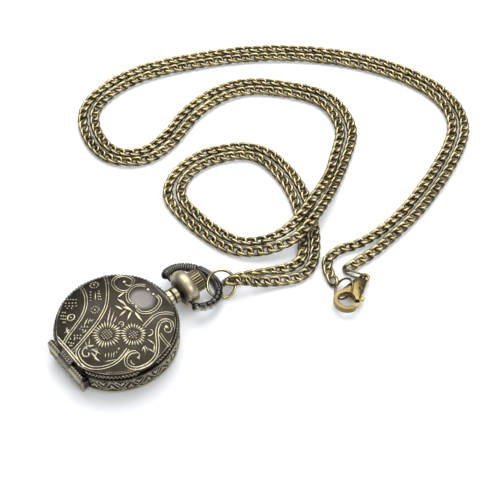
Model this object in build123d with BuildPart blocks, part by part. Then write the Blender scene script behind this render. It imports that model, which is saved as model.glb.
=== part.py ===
"""Pendant watch: a small hunter-cased quartz watch with a bow, a jump ring, a folded chain and a lobster clasp.

Millimetres. The watch lies on its back: the origin is on the table under the middle of the case, +Z points
out of the lid, +Y towards twelve o'clock and the crown, +X towards three o'clock.
"""
from build123d import *
from math import asin, atan2, cos, degrees, hypot, pi, radians, sin, tan
import os

os.makedirs("parts", exist_ok=True)

# Case shell, across and up
case_radius = 13.5
band_inset = 0.3
band_radius = case_radius - band_inset
case_bottom = 1.9
case_top = 6.6
bead_height = 0.6
case_wall = 1.4
bore_radius = band_radius - case_wall
cover_inset = 0.6
cover_radius = case_radius - cover_inset
cover_shoulder = 1.3
foot_inset = 3.3
foot_radius = cover_radius - foot_inset
shell_wall = 0.45

# Back cover skirt and its gasket
skirt_width = 0.45
skirt_height = 0.8
gasket_width = 0.35
gasket_height = 0.5
gasket_lift = 0.1

# Dial seat, bezel and crystal
dial_top = 5.45
dial_thickness = 0.3
seat_thickness = 0.25
seat_ledge = 1.1
seat_radius = bore_radius - seat_ledge
bezel_step = 0.25
bezel_radius = bore_radius + bezel_step
bezel_neck = 0.3
bezel_upper_radius = bezel_radius - bezel_neck
bezel_top = 7.4
bezel_slope = 0.45
bezel_face = 0.85
crystal_radius = bezel_upper_radius - bezel_face
crystal_ledge = 0.5
crystal_bottom = 6.6
crystal_edge = 0.55
crystal_dome = 0.35
running_gap = 0.05

# Lid and its hinge
lid_inset = 0.4
lid_radius = case_radius - lid_inset
lid_gap = 0.1
lid_shoulder = 7.9
lid_top = 9.9
lid_skirt = 0.5
lid_wall = 0.5
lid_bevel = 0.3
chord_inset = 0.8
lid_chord = lid_radius - chord_inset
lid_chord_wall = 0.4
strap_top = 7.6
slit_width = 3.4
slit_height = 0.35
slit_depth = 0.3
slit_turn = -5.0
hinge_inset = 0.45
hinge_y = hinge_inset - case_radius
hinge_z = 6.0
knuckle_radius = 0.75
knuckle_clearance = 0.1
barrel_length = 12.0
middle_knuckle = 4.0
pin_radius = 0.35
block_width = 12.6
block_overhang = 0.12
block_face = case_radius + block_overhang
bore_margin = 0.1
block_root = bore_radius + bore_margin
block_top = 5.2

# Neck, bell and bow pivots, along the axis to twelve o'clock
axis_z = 4.5
tube_radius = 0.9
tube_bore = 0.5
tube_start = bore_radius + bore_margin
flat_depth = 0.2
neck_flat = case_radius - flat_depth
collar_radius = 2.1
lower_collar_length = 1.3
collar_step = neck_flat + lower_collar_length
groove_radius = 1.6
groove_width = 0.3
upper_collar_radius = 1.9
collar_length = 2.9
bell_start = neck_flat + collar_length
bell_length = 3.6
bell_end = bell_start + bell_length
tube_recess = 0.2
tube_end = bell_end - tube_recess
bell_radius = 4.25
bell_foot = 1.7
pivot_offset = 1.1
pivot_y = bell_start + pivot_offset
pivot_radius = 0.45
pivot_reach = 2.4
pivot_clearance = 0.05

# Crown and stem
crown_gap = 0.2
crown_radius = 2.55
crown_length = 2.2
cap_radius = 2.35
cap_length = 1.5
cap_tip = 0.4
flute_count = 26
flute_radius = 0.2
stem_radius = 0.42
stem_square = 0.5
square_start = 3.9
square_end = 5.6
square_clearance = 0.03
clutch_start = 4.3
clutch_length = 1.0
clutch_radius = 0.6
clutch_teeth = 10
clutch_tooth = 0.16

# Bow: a horseshoe that droops from its pivots to the table
bow_droop = 20.0
bow_radius = 6.4
bow_centre = 2.95
bow_wire = 0.8
bow_bead = 1.0
bow_bead_count = 5
bow_bead_step = 13.5
bow_end_radius = 1.05
band_half_angle = 38.0
band_depth = 1.4
band_width = 1.8
band_corner = 0.4
band_groove = 0.22
band_groove_over = 0.5

# Jump ring, threaded on the bow
ring_radius = 3.2
ring_wire = 0.375
ring_offset = 9.0
ring_y = pivot_y + ring_offset
ring_centre = Vector(2.95, ring_y, 2.3)
ring_normal = Vector(0.467, -0.339, 0.816)

# Movement: plates, train and electrics
plate_radius = 9.0
plate_half_width = 7.65
plate_bottom = 3.9
plate_thickness = 0.6
holder_clearance = 0.05
holder_bottom = 0.6
holder_step = 2.75
holder_inset = 0.1
bridge_bottom = 1.3
bridge_thickness = 0.3
pillar_radius = 0.55
pillar_points = ((-4.3, 1.8), (3.3, 2.6), (4.6, -0.6))
screw_radius = 0.25
screw_head_radius = 0.5
screw_head_height = 0.3
screw_depth = 1.4
screw_slot = 0.12
pivot_hole = 0.13
arbor_radius = 0.1
stem_slot = 1.2
clutch_slot = 1.5
clutch_slot_start = 4.0
clutch_slot_end = 5.5

rotor_teeth = 8
intermediate_teeth = 48
leaf_count = 8
seconds_teeth = 40
third_teeth = 60
centre_teeth = 64
cannon_teeth = 10
minute_teeth = 30
hour_teeth = 32
rotor_module = 0.06
intermediate_module = 0.07
third_module = 0.06
motion_module = 0.12
wheel_thickness = 0.15
leaf_height = 0.5
tooth_share = 0.42
tooth_above = 0.9
tooth_below = 1.1
rotor_turn = -75.0
intermediate_turn = -30.0
third_turn = 150.0
minute_turn = 60.0

intermediate_level = 1.8
seconds_level = 2.2
third_level = 2.6
centre_level = 3.0
magnet_radius = 0.5
magnet_level = 2.35
magnet_height = 0.6
seconds_arbor = 0.12
tube_wall_gap = 0.06
centre_tube = 0.32
cannon_bore_gap = 0.03
cannon_wall = 0.12
hour_pipe_gap = 0.06
hour_pipe_wall = 0.16
minute_level = 4.62
hour_level = 4.9
post_radius = 0.2
post_gap = 0.03

hand_thickness = 0.1
hour_hand_level = 5.65
minute_hand_level = 5.95
seconds_hand_level = 6.25
hour_hand_length = crystal_radius - 4.9
minute_hand_length = crystal_radius - 1.9
seconds_hand_length = crystal_radius - 2.3
seconds_tail = 2.6
hour_shown = 305.0
minute_shown = 60.0
seconds_shown = 210.0
hub_wall = 0.35

battery_radius = 2.9
battery_height = 2.15
battery_top_gap = 0.05
battery_step = 0.35
battery_x = -3.7
battery_y = -3.7
clip_width = 1.4
clip_thickness = 0.2
clip_reach = 3.1

stator_level = 2.4
stator_thickness = 0.4
stator_hole = 0.75
core_width = 1.0
core_thickness = 0.3
core_left = -0.5
core_right = 6.5
core_y = -5.5
coil_radius = 0.65
coil_left = 0.6
coil_right = 5.4
board_thickness = 0.3
board_left = 4.4
board_right = 7.5
board_low = 0.3
board_high = 6.2
board_corner = 1.6
can_radius = 0.7
can_length = 4.6
can_x = 6.4
can_y = 0.8
chip_size = 1.1
chip_height = 0.5
chip_x = 5.05
chip_y = 4.9

# Chain: a round tube stands for the curb links, folded at the ring into two strands
chain_radius = 1.0
floor_z = chain_radius
over_z = 3.7
near_leg = (8.4, 34.8, 1.3)
near_turn = (13.2, 43.8, floor_z)
far_leg = (3.4, 33.0, floor_z)
far_turn = (9.9, 43.7, floor_z)
fold_under = (2.4, ring_y + 1.6, 1.12)
fold_over = (4.2, ring_y + 0.3, 4.2)
fold_lift = (5.6, ring_y + 3.1, 4.3)
strand_a_floor = ((6.5, 51.9), (-7.0, 59.8), (-20.9, 61.3), (-28.2, 56.4), (-32.7, 44.5), (-28.1, 32.4),
                  (-15.9, 31.6), (-1.8, 34.4))
strand_a_over = ((5.3, 45.7, over_z), (1.4, 57.2, over_z), (-3.4, 66.0, 1.2))
strand_a_end = ((-9.0, 75.2), (-14.5, 82.3), (-26.0, 85.3), (-36.2, 79.3), (-45.7, 69.6), (-46.6, 55.1),
                (-41.0, 42.5), (-41.4, 34.6), (-46.8, 30.5), (-55.4, 31.9), (-61.5, 36.6), (-63.0, 49.5),
                (-56.6, 66.4), (-47.5, 81.8), (-35.3, 94.5), (-22.0, 102.6), (-9.5, 105.9), (0.3, 102.9),
                (6.4, 93.1), (12.2, 76.2), (13.8, 65.4), (13.4, 58.6), (11.3, 53.6), (12.7, 48.1),
                (18.2, 46.9))
strand_b_floor = ((4.6, 49.6), (-7.9, 57.0), (-20.2, 58.3), (-25.8, 54.6), (-29.6, 44.5), (-26.0, 35.1),
                  (-16.1, 34.5), (-3.6, 37.0))
strand_b_over = ((2.2, 46.1, over_z), (-2.9, 60.4, over_z), (-6.8, 67.4, 1.2))
strand_b_end = ((-11.4, 73.5), (-16.1, 79.7), (-25.6, 82.2), (-34.4, 77.0), (-42.8, 68.4), (-43.7, 55.5),
                (-38.0, 42.5), (-38.6, 33.6), (-45.9, 27.5), (-56.6, 29.1), (-64.2, 35.1), (-66.0, 49.8),
                (-59.2, 67.7), (-49.8, 83.5), (-37.2, 96.8), (-23.1, 105.3), (-9.4, 108.9), (2.2, 105.3),
                (9.0, 94.4), (15.1, 76.9), (16.8, 64.5), (17.3, 58.0), (16.8, 51.6))

# Lobster clasp, lying on the end ring with its eye near the table
clasp_centre = Vector(24.0, 45.2, 2.15)
clasp_turn = 108.0
clasp_tilt = 6.0
clasp_thickness = 1.4
claw_radius = 3.0
claw_hole = 1.95
mouth_middle = -88.0
mouth_half_angle = 29.0
body_half_width = 2.3
body_end_half_width = 1.15
body_start = 1.6
body_length = 7.2
eye_x = 8.3
eye_radius = 1.15
eye_hole = 0.6
eye_thickness = 0.9
lever_pivot_x = 4.2
lever_pivot_y = -0.95
lever_pin_radius = 0.3
lever_clearance = 0.04
lever_thickness = 0.45
lever_half_width = 0.5
lever_gap = 0.12
slot_height = 0.85
slot_start = 0.8
slot_end = 5.2
slot_top = 0.5
tab_x = 2.7
tab_reach = 3.1
tab_width = 0.9
spring_wire = 0.06
spring_radius = 0.42
spring_pitch = 0.14
spring_height = 0.16

# Ring and link between the chain and the clasp
end_ring_centre = Vector(21.1, 47.0, 1.95)
end_ring_normal = Vector(-0.361, -0.562, 0.743)
end_ring_radius = 2.5
end_ring_wire = 0.25
link_wire = 0.25
link_half_height = 0.9
link_far = (16.9, 50.7)


def neck_plane(distance):
    """A plane square to the crown's axis, this far towards twelve o'clock."""
    return Plane(origin=(0, distance, axis_z), x_dir=(1, 0, 0), z_dir=(0, 1, 0))


neck_profile = Plane(origin=(0, 0, axis_z), x_dir=(0, 1, 0), z_dir=(1, 0, 0))
neck_axis = Axis((0, 0, axis_z), (0, 1, 0))


def dome_arc(half_width, edge, rise):
    """The half of a dome's section from its edge up to its top on the axis."""
    sphere = (half_width * half_width + rise * rise) / (2 * rise)
    sweep_angle = degrees(asin(half_width / sphere))
    return CenterArc((0, edge + rise - sphere), sphere, 90 - sweep_angle, sweep_angle)


def wheel_outline(teeth, module, turn):
    """Flat outline of a small toothed wheel: a root disc and straight teeth, one tooth pointing at turn."""
    pitch_radius = teeth * module / 2
    tooth_width = tooth_share * pi * module
    tooth_height = (tooth_above + tooth_below) * module
    tooth_middle = pitch_radius + (tooth_above - tooth_below) / 2 * module
    with BuildSketch() as outline:
        Circle(pitch_radius - (tooth_below - tooth_above / 10) * module)
        with PolarLocations(tooth_middle, teeth, start_angle=turn):
            Rectangle(tooth_height, tooth_width)
    return outline.sketch


def gap_turn(direction, teeth):
    """The turn that puts a gap of a wheel at this direction, to take its partner's tooth."""
    return direction - 180 / teeth


def polar_point(distance, direction, start=(0, 0)):
    """The point this far from the start, in this direction in degrees."""
    return (start[0] + distance * cos(radians(direction)), start[1] + distance * sin(radians(direction)))


# The train's axes follow from the tooth counts and modules
intermediate_point = polar_point(intermediate_module * (seconds_teeth + leaf_count) / 2, intermediate_turn)
rotor_distance = rotor_module * (intermediate_teeth + rotor_teeth) / 2
rotor_point = polar_point(rotor_distance, rotor_turn, intermediate_point)
third_distance = third_module * (third_teeth + leaf_count) / 2
third_point = polar_point(third_distance, third_turn)
centre_module = 2 * third_distance / (centre_teeth + leaf_count)
minute_point = polar_point(motion_module * (cannon_teeth + minute_teeth) / 2, minute_turn)

plate_top = plate_bottom + plate_thickness
bridge_top = bridge_bottom + bridge_thickness
dial_bottom = dial_top - dial_thickness
dial_radius = bore_radius - running_gap
seat_top = dial_top + seat_thickness
skirt_outer = bore_radius - gasket_width
skirt_inner = skirt_outer - skirt_width
skirt_top = case_bottom + skirt_height
holder_step_radius = skirt_inner - holder_inset
lid_bottom = case_top + lid_gap
lid_inner = lid_radius - lid_skirt
crown_start = bell_end + crown_gap
crown_end = crown_start + crown_length

# Back cover: a snap-on dish with a flat foot and a skirt
with BuildPart() as back_cover:
    with BuildSketch(Plane.XZ):
        with BuildLine():
            Polyline((0, shell_wall), (0, 0), (foot_radius, 0))
            cover_arc = ThreePointArc((foot_radius, 0), (foot_radius + (cover_radius - foot_radius) * 0.62,
                                                          cover_shoulder * 0.36), (cover_radius, cover_shoulder))
            Polyline(cover_arc @ 1, (cover_radius, case_bottom), (skirt_outer, case_bottom),
                     (skirt_outer, skirt_top), (skirt_inner, skirt_top), (skirt_inner, cover_shoulder),
                     (foot_radius, shell_wall), (0, shell_wall))
        make_face()
    revolve(axis=Axis.Z)
back_cover.part.label = "back_cover"
export_step(back_cover.part, "parts/back_cover.step")

# Gasket: a flat rubber ring between the skirt and the case bore
with BuildPart() as back_gasket:
    with BuildSketch(Plane.XY.offset(case_bottom + gasket_lift)):
        Circle(bore_radius)
        Circle(skirt_outer, mode=Mode.SUBTRACT)
    extrude(amount=gasket_height)
back_gasket.part.label = "back_gasket"
export_step(back_gasket.part, "parts/back_gasket.step")

# Mid-case: the ring that carries everything, with its dial seat, hinge knuckles and neck flat
with BuildPart() as mid_case:
    with BuildSketch(Plane.XZ) as ring_section:
        with BuildLine():
            Polyline((bore_radius, case_bottom), (case_radius, case_bottom),
                     (case_radius, case_bottom + bead_height), (band_radius, case_bottom + bead_height),
                     (band_radius, case_top - bead_height), (case_radius, case_top - bead_height),
                     (case_radius, case_top), (bezel_radius, case_top), (bezel_radius, seat_top),
                     (seat_radius, seat_top), (seat_radius, dial_top), (bore_radius, dial_top),
                     (bore_radius, case_bottom))
        make_face()
    revolve(axis=Axis.Z)
    # The hinge block stands out to a chord and carries the two outer knuckles
    with BuildSketch(Plane.XY.offset(case_bottom)):
        with Locations((0, -(block_face + block_root) / 2)):
            Rectangle(block_width, block_face - block_root)
        Circle(bore_radius, mode=Mode.SUBTRACT)
    extrude(amount=block_top - case_bottom)
    with BuildSketch(Plane.YZ.offset(-barrel_length / 2)):
        with Locations((hinge_y, hinge_z)):
            Circle(knuckle_radius)
        with Locations((hinge_y, (hinge_z + block_top) / 2)):
            Rectangle(2 * knuckle_radius, hinge_z - block_top)
    extrude(amount=barrel_length)
    with BuildSketch(Plane.XY.offset(case_top)):
        Circle(bezel_radius)
    extrude(amount=lid_gap + knuckle_radius, mode=Mode.SUBTRACT)
    # Room for the lid's knuckle, and the bore for the pin
    with BuildSketch(Plane.YZ.offset(-middle_knuckle / 2 - knuckle_clearance)):
        with Locations((hinge_y, hinge_z)):
            Circle(knuckle_radius + knuckle_clearance)
        with Locations((hinge_y, hinge_z + knuckle_radius)):
            Rectangle(2 * (knuckle_radius + knuckle_clearance), 2 * knuckle_radius)
    extrude(amount=middle_knuckle + 2 * knuckle_clearance, mode=Mode.SUBTRACT)
    with BuildSketch(Plane.YZ.offset(-barrel_length / 2)):
        with Locations((hinge_y, hinge_z)):
            Circle(pin_radius)
    extrude(amount=barrel_length, mode=Mode.SUBTRACT)
    # The neck flat and its bore at twelve o'clock
    with BuildSketch(neck_plane(neck_flat)):
        Rectangle(2 * collar_radius + 0.4, case_top - case_bottom + 1)
    extrude(amount=case_radius - neck_flat, mode=Mode.SUBTRACT)
    with BuildSketch(neck_plane(bore_radius - 1)):
        Circle(tube_radius)
    extrude(amount=case_radius - bore_radius + 1, mode=Mode.SUBTRACT)
mid_case.part.label = "mid_case"
export_step(mid_case.part, "parts/mid_case.step")

# Bezel: a snap-in ring that holds the crystal
with BuildPart() as bezel_ring:
    with BuildSketch(Plane.XZ):
        with BuildLine():
            Polyline((bezel_radius, seat_top), (bezel_radius, case_top), (bezel_upper_radius, case_top),
                     (bezel_upper_radius, bezel_top - bezel_slope),
                     (bezel_upper_radius - bezel_slope, bezel_top), (crystal_radius, bezel_top),
                     (crystal_radius, crystal_bottom), (crystal_radius - crystal_ledge, crystal_bottom),
                     (crystal_radius - crystal_ledge, seat_top), close=True)
        make_face()
    revolve(axis=Axis.Z)
bezel_ring.part.label = "bezel_ring"
export_step(bezel_ring.part, "parts/bezel_ring.step")

# Crystal: a low clear dome in the bezel's rebate
with BuildPart() as dial_crystal:
    with BuildSketch(Plane.XZ):
        with BuildLine():
            crystal_line = dome_arc(crystal_radius, crystal_bottom + crystal_edge, crystal_dome)
            Polyline(crystal_line @ 1, (0, crystal_bottom), (crystal_radius, crystal_bottom), crystal_line @ 0)
        make_face()
    revolve(axis=Axis.Z)
dial_crystal.part.label = "dial_crystal"
export_step(dial_crystal.part, "parts/dial_crystal.step")

# Dial: a thin disc under the seat, open in the middle for the hour pipe
cannon_bore = centre_tube + cannon_bore_gap
cannon_radius = cannon_bore + cannon_wall
hour_pipe_bore = cannon_radius + hour_pipe_gap
hour_pipe_radius = hour_pipe_bore + hour_pipe_wall
with BuildPart() as dial:
    with BuildSketch(Plane.XY.offset(dial_bottom)):
        Circle(dial_radius)
        Circle(hour_pipe_radius + 0.25, mode=Mode.SUBTRACT)
    extrude(amount=dial_thickness)
dial.part.label = "dial"
export_step(dial.part, "parts/dial.step")

# Movement holder: a plastic ring that fills the case round the movement
with BuildPart() as movement_holder:
    with BuildSketch(Plane.XY.offset(holder_bottom)):
        Circle(holder_step_radius)
    extrude(amount=dial_bottom - holder_bottom)
    with BuildSketch(Plane.XY.offset(holder_step)):
        Circle(bore_radius - running_gap)
    extrude(amount=dial_bottom - holder_step)
    with BuildSketch(Plane.XY.offset(holder_bottom)):
        Circle(plate_radius + holder_clearance)
        Rectangle(2 * (plate_half_width + holder_clearance), 2 * plate_radius + 1, mode=Mode.INTERSECT)
    extrude(amount=dial_bottom - holder_bottom, mode=Mode.SUBTRACT)
    with BuildSketch(neck_plane(plate_radius - 1)):
        Circle(stem_slot / 2)
    extrude(amount=bore_radius, mode=Mode.SUBTRACT)
    # The floor of the ring is cut back to the curve of the back cover
    with BuildSketch(Plane.XZ):
        with BuildLine():
            Polyline((foot_radius - 0.1, holder_bottom), (holder_step_radius + 0.1, holder_bottom),
                     (holder_step_radius + 0.1, cover_shoulder + 0.1), (foot_radius - 0.1, holder_bottom))
        make_face()
    revolve(axis=Axis.Z, mode=Mode.SUBTRACT)
movement_holder.part.label = "movement_holder"
export_step(movement_holder.part, "parts/movement_holder.step")

# Main plate: the movement's base, with pillars for the bridge and a post for the minute wheel
with BuildPart() as main_plate:
    with BuildSketch(Plane.XY.offset(plate_bottom)):
        Circle(plate_radius)
        Rectangle(2 * plate_half_width, 2 * plate_radius + 1, mode=Mode.INTERSECT)
        with Locations((0, (clutch_slot_end + plate_radius + 1) / 2)):
            Rectangle(stem_slot, plate_radius + 1 - clutch_slot_end, mode=Mode.SUBTRACT)
        with Locations((0, (clutch_slot_start + clutch_slot_end) / 2)):
            Rectangle(clutch_slot, clutch_slot_end - clutch_slot_start, mode=Mode.SUBTRACT)
        with Locations((0, (square_start - 0.3 + clutch_slot_start) / 2)):
            Rectangle(stem_slot, clutch_slot_start - square_start + 0.3, mode=Mode.SUBTRACT)
        Circle(centre_tube + tube_wall_gap, mode=Mode.SUBTRACT)
        with Locations(rotor_point, intermediate_point, third_point):
            Circle(pivot_hole, mode=Mode.SUBTRACT)
    extrude(amount=plate_thickness)
    with BuildSketch(Plane.XY.offset(bridge_top)):
        with Locations(*pillar_points):
            Circle(pillar_radius)
    extrude(amount=plate_bottom - bridge_top)
    with BuildSketch(Plane.XY.offset(plate_top)):
        with Locations(minute_point):
            Circle(post_radius)
    extrude(amount=dial_bottom - plate_top - running_gap)
    with BuildSketch(Plane.XY.offset(bridge_top)):
        with Locations(*pillar_points):
            Circle(screw_radius)
    extrude(amount=screw_depth, mode=Mode.SUBTRACT)
main_plate.part.label = "main_plate"
export_step(main_plate.part, "parts/main_plate.step")

# Train bridge: a thin plate on the pillars that carries the lower pivots
bridge_outline = ((-5.2, 1.0), (-5.0, 2.8), (-2.6, 3.2), (3.6, 3.7), (5.6, -0.2), (5.0, -1.7), (2.6, -3.4),
                  (1.0, -3.0), (-1.0, -1.0))
with BuildPart() as train_bridge:
    with BuildSketch(Plane.XY.offset(bridge_bottom)):
        with BuildLine():
            Polyline(*bridge_outline, close=True)
        make_face()
        with Locations((0, 0), rotor_point, intermediate_point, third_point):
            Circle(pivot_hole + 0.02, mode=Mode.SUBTRACT)
        with Locations(*pillar_points):
            Circle(screw_radius + running_gap, mode=Mode.SUBTRACT)
    extrude(amount=bridge_thickness)
train_bridge.part.label = "train_bridge"
export_step(train_bridge.part, "parts/train_bridge.step")

# Bridge screws: three slotted screws through the bridge into the pillars
with BuildPart() as bridge_screws:
    with BuildSketch(Plane.XY.offset(bridge_bottom - screw_head_height)):
        with Locations(*pillar_points):
            Circle(screw_head_radius)
    extrude(amount=screw_head_height)
    with BuildSketch(Plane.XY.offset(bridge_bottom)):
        with Locations(*pillar_points):
            Circle(screw_radius)
    extrude(amount=bridge_thickness + screw_depth)
    with BuildSketch(Plane.XY.offset(bridge_bottom - screw_head_height)):
        with Locations(*pillar_points):
            Rectangle(2 * screw_head_radius, screw_slot)
    extrude(amount=screw_head_height / 2, mode=Mode.SUBTRACT)
bridge_screws.part.label = "bridge_screws"
export_step(bridge_screws.part, "parts/bridge_screws.step")

# Rotor: a round magnet with an eight-leaf pinion on one arbor
with BuildPart() as rotor:
    with BuildSketch(Plane.XY.offset(bridge_bottom + 0.05)):
        with Locations(rotor_point):
            Circle(arbor_radius)
    extrude(amount=plate_bottom + 0.2 - bridge_bottom - 0.05)
    with BuildSketch(Plane.XY.offset(intermediate_level - 0.1)):
        with Locations(rotor_point):
            add(wheel_outline(rotor_teeth, rotor_module, gap_turn(rotor_turn + 180, rotor_teeth)))
    extrude(amount=wheel_thickness + 0.2)
    with BuildSketch(Plane.XY.offset(magnet_level)):
        with Locations(rotor_point):
            Circle(magnet_radius)
    extrude(amount=magnet_height)
rotor.part.label = "rotor"
export_step(rotor.part, "parts/rotor.step")

# Intermediate wheel: takes the rotor's steps down to the seconds wheel
with BuildPart() as intermediate_wheel:
    with BuildSketch(Plane.XY.offset(bridge_bottom + 0.05)):
        with Locations(intermediate_point):
            Circle(arbor_radius)
    extrude(amount=plate_bottom + 0.2 - bridge_bottom - 0.05)
    with BuildSketch(Plane.XY.offset(intermediate_level)):
        with Locations(intermediate_point):
            add(wheel_outline(intermediate_teeth, rotor_module, rotor_turn))
    extrude(amount=wheel_thickness)
    with BuildSketch(Plane.XY.offset(intermediate_level + wheel_thickness)):
        with Locations(intermediate_point):
            add(wheel_outline(leaf_count, intermediate_module, gap_turn(intermediate_turn + 180, leaf_count)))
    extrude(amount=leaf_height)
intermediate_wheel.part.label = "intermediate_wheel"
export_step(intermediate_wheel.part, "parts/intermediate_wheel.step")

# Seconds wheel: on the centre arbor, which goes up through the dial to the seconds hand
seconds_arbor_top = seconds_hand_level + hand_thickness
with BuildPart() as seconds_wheel:
    with BuildSketch(Plane.XY.offset(bridge_bottom + 0.05)):
        Circle(seconds_arbor)
    extrude(amount=seconds_arbor_top - bridge_bottom - 0.05)
    with BuildSketch(Plane.XY.offset(seconds_level)):
        add(wheel_outline(seconds_teeth, intermediate_module, intermediate_turn))
    extrude(amount=wheel_thickness)
    with BuildSketch(Plane.XY.offset(seconds_level + wheel_thickness)):
        add(wheel_outline(leaf_count, third_module, gap_turn(third_turn, leaf_count)))
    extrude(amount=leaf_height)
seconds_wheel.part.label = "seconds_wheel"
export_step(seconds_wheel.part, "parts/seconds_wheel.step")

# Third wheel: between the seconds wheel and the centre wheel
with BuildPart() as third_wheel:
    with BuildSketch(Plane.XY.offset(bridge_bottom + 0.05)):
        with Locations(third_point):
            Circle(arbor_radius)
    extrude(amount=plate_bottom + 0.2 - bridge_bottom - 0.05)
    with BuildSketch(Plane.XY.offset(third_level)):
        with Locations(third_point):
            add(wheel_outline(third_teeth, third_module, third_turn + 180))
    extrude(amount=wheel_thickness)
    with BuildSketch(Plane.XY.offset(third_level + wheel_thickness)):
        with Locations(third_point):
            add(wheel_outline(leaf_count, centre_module, gap_turn(third_turn + 180, leaf_count)))
    extrude(amount=leaf_height)
third_wheel.part.label = "third_wheel"
export_step(third_wheel.part, "parts/third_wheel.step")

# Centre wheel: one turn an hour, on a tube round the seconds arbor
with BuildPart() as centre_wheel:
    with BuildSketch(Plane.XY.offset(centre_level)):
        add(wheel_outline(centre_teeth, centre_module, third_turn))
    extrude(amount=wheel_thickness)
    with BuildSketch(Plane.XY.offset(centre_level)):
        Circle(centre_tube)
    extrude(amount=dial_top - centre_level)
    with BuildSketch(Plane.XY.offset(centre_level)):
        Circle(seconds_arbor + tube_wall_gap)
    extrude(amount=dial_top - centre_level, mode=Mode.SUBTRACT)
centre_wheel.part.label = "centre_wheel"
export_step(centre_wheel.part, "parts/centre_wheel.step")

# Cannon pinion: slips on the centre tube, carries the minute hand and drives the minute wheel
with BuildPart() as cannon_pinion:
    with BuildSketch(Plane.XY.offset(plate_top + 0.05)):
        Circle(cannon_radius)
    extrude(amount=minute_hand_level + hand_thickness - plate_top - 0.05)
    with BuildSketch(Plane.XY.offset(minute_level - 0.04)):
        add(wheel_outline(cannon_teeth, motion_module, gap_turn(minute_turn, cannon_teeth)))
    extrude(amount=wheel_thickness + 0.06)
    with BuildSketch(Plane.XY.offset(plate_top)):
        Circle(cannon_bore)
    extrude(amount=crystal_bottom - plate_top, mode=Mode.SUBTRACT)
cannon_pinion.part.label = "cannon_pinion"
export_step(cannon_pinion.part, "parts/cannon_pinion.step")

# Minute wheel: on the plate's post, with the pinion that drives the hour wheel
with BuildPart() as minute_wheel:
    with BuildSketch(Plane.XY.offset(minute_level)):
        with Locations(minute_point):
            add(wheel_outline(minute_teeth, motion_module, minute_turn + 180))
    extrude(amount=wheel_thickness)
    with BuildSketch(Plane.XY.offset(minute_level + wheel_thickness)):
        with Locations(minute_point):
            add(wheel_outline(leaf_count, motion_module, gap_turn(minute_turn + 180, leaf_count)))
    extrude(amount=hour_level + wheel_thickness - minute_level - wheel_thickness + 0.03)
    with BuildSketch(Plane.XY.offset(minute_level)):
        with Locations(minute_point):
            Circle(post_radius + post_gap)
    extrude(amount=dial_bottom - minute_level, mode=Mode.SUBTRACT)
minute_wheel.part.label = "minute_wheel"
export_step(minute_wheel.part, "parts/minute_wheel.step")

# Hour wheel: its pipe comes up through the dial with the hour hand
with BuildPart() as hour_wheel:
    with BuildSketch(Plane.XY.offset(hour_level)):
        add(wheel_outline(hour_teeth, motion_module, minute_turn))
    extrude(amount=wheel_thickness)
    with BuildSketch(Plane.XY.offset(hour_level - 0.03)):
        Circle(hour_pipe_radius)
    extrude(amount=hour_hand_level + hand_thickness - hour_level + 0.03)
    with BuildSketch(Plane.XY.offset(hour_level - 0.03)):
        Circle(hour_pipe_bore)
    extrude(amount=crystal_bottom - hour_level, mode=Mode.SUBTRACT)
hour_wheel.part.label = "hour_wheel"
export_step(hour_wheel.part, "parts/hour_wheel.step")


def hand_plane(level, shown):
    """A plane at this level whose +Y points where the hand points, clockwise from twelve."""
    return Plane(origin=(0, 0, level), x_dir=(cos(radians(shown)), -sin(radians(shown)), 0), z_dir=(0, 0, 1))


# Hour hand: a spade shape on the hour pipe
with BuildPart() as hour_hand:
    with BuildSketch(hand_plane(hour_hand_level, hour_shown)):
        Circle(hour_pipe_radius + hub_wall)
        with BuildLine():
            Polyline((-0.28, 0), (-0.2, hour_hand_length * 0.62), (0.2, hour_hand_length * 0.62), (0.28, 0),
                     close=True)
        make_face()
        hour_spade = hour_hand_length * 0.66
        with Locations((0, hour_spade)):
            Circle(0.62)
        with BuildLine():
            Polyline((-0.34, hour_spade + 0.36), (0, hour_hand_length), (0.34, hour_spade + 0.36), close=True)
        make_face()
        Circle(hour_pipe_radius, mode=Mode.SUBTRACT)
    extrude(amount=hand_thickness)
hour_hand.part.label = "hour_hand"
export_step(hour_hand.part, "parts/hour_hand.step")

# Minute hand: the same shape, longer and slimmer, on the cannon pinion
with BuildPart() as minute_hand:
    with BuildSketch(hand_plane(minute_hand_level, minute_shown)):
        Circle(cannon_radius + hub_wall)
        with BuildLine():
            Polyline((-0.24, 0), (-0.15, minute_hand_length * 0.7), (0.15, minute_hand_length * 0.7), (0.24, 0),
                     close=True)
        make_face()
        minute_spade = minute_hand_length * 0.72
        with Locations((0, minute_spade)):
            Circle(0.45)
        with BuildLine():
            Polyline((-0.26, minute_spade + 0.3), (0, minute_hand_length), (0.26, minute_spade + 0.3), close=True)
        make_face()
        Circle(cannon_radius, mode=Mode.SUBTRACT)
    extrude(amount=hand_thickness)
minute_hand.part.label = "minute_hand"
export_step(minute_hand.part, "parts/minute_hand.step")

# Seconds hand: a needle with a tail, on the seconds arbor
with BuildPart() as seconds_hand:
    with BuildSketch(hand_plane(seconds_hand_level, seconds_shown)):
        Circle(seconds_arbor + hub_wall)
        with BuildLine():
            Polyline((-0.12, -seconds_tail), (-0.05, seconds_hand_length), (0.05, seconds_hand_length),
                     (0.12, -seconds_tail), close=True)
        make_face()
        Circle(seconds_arbor, mode=Mode.SUBTRACT)
    extrude(amount=hand_thickness)
seconds_hand.part.label = "seconds_hand"
export_step(seconds_hand.part, "parts/seconds_hand.step")

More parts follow.
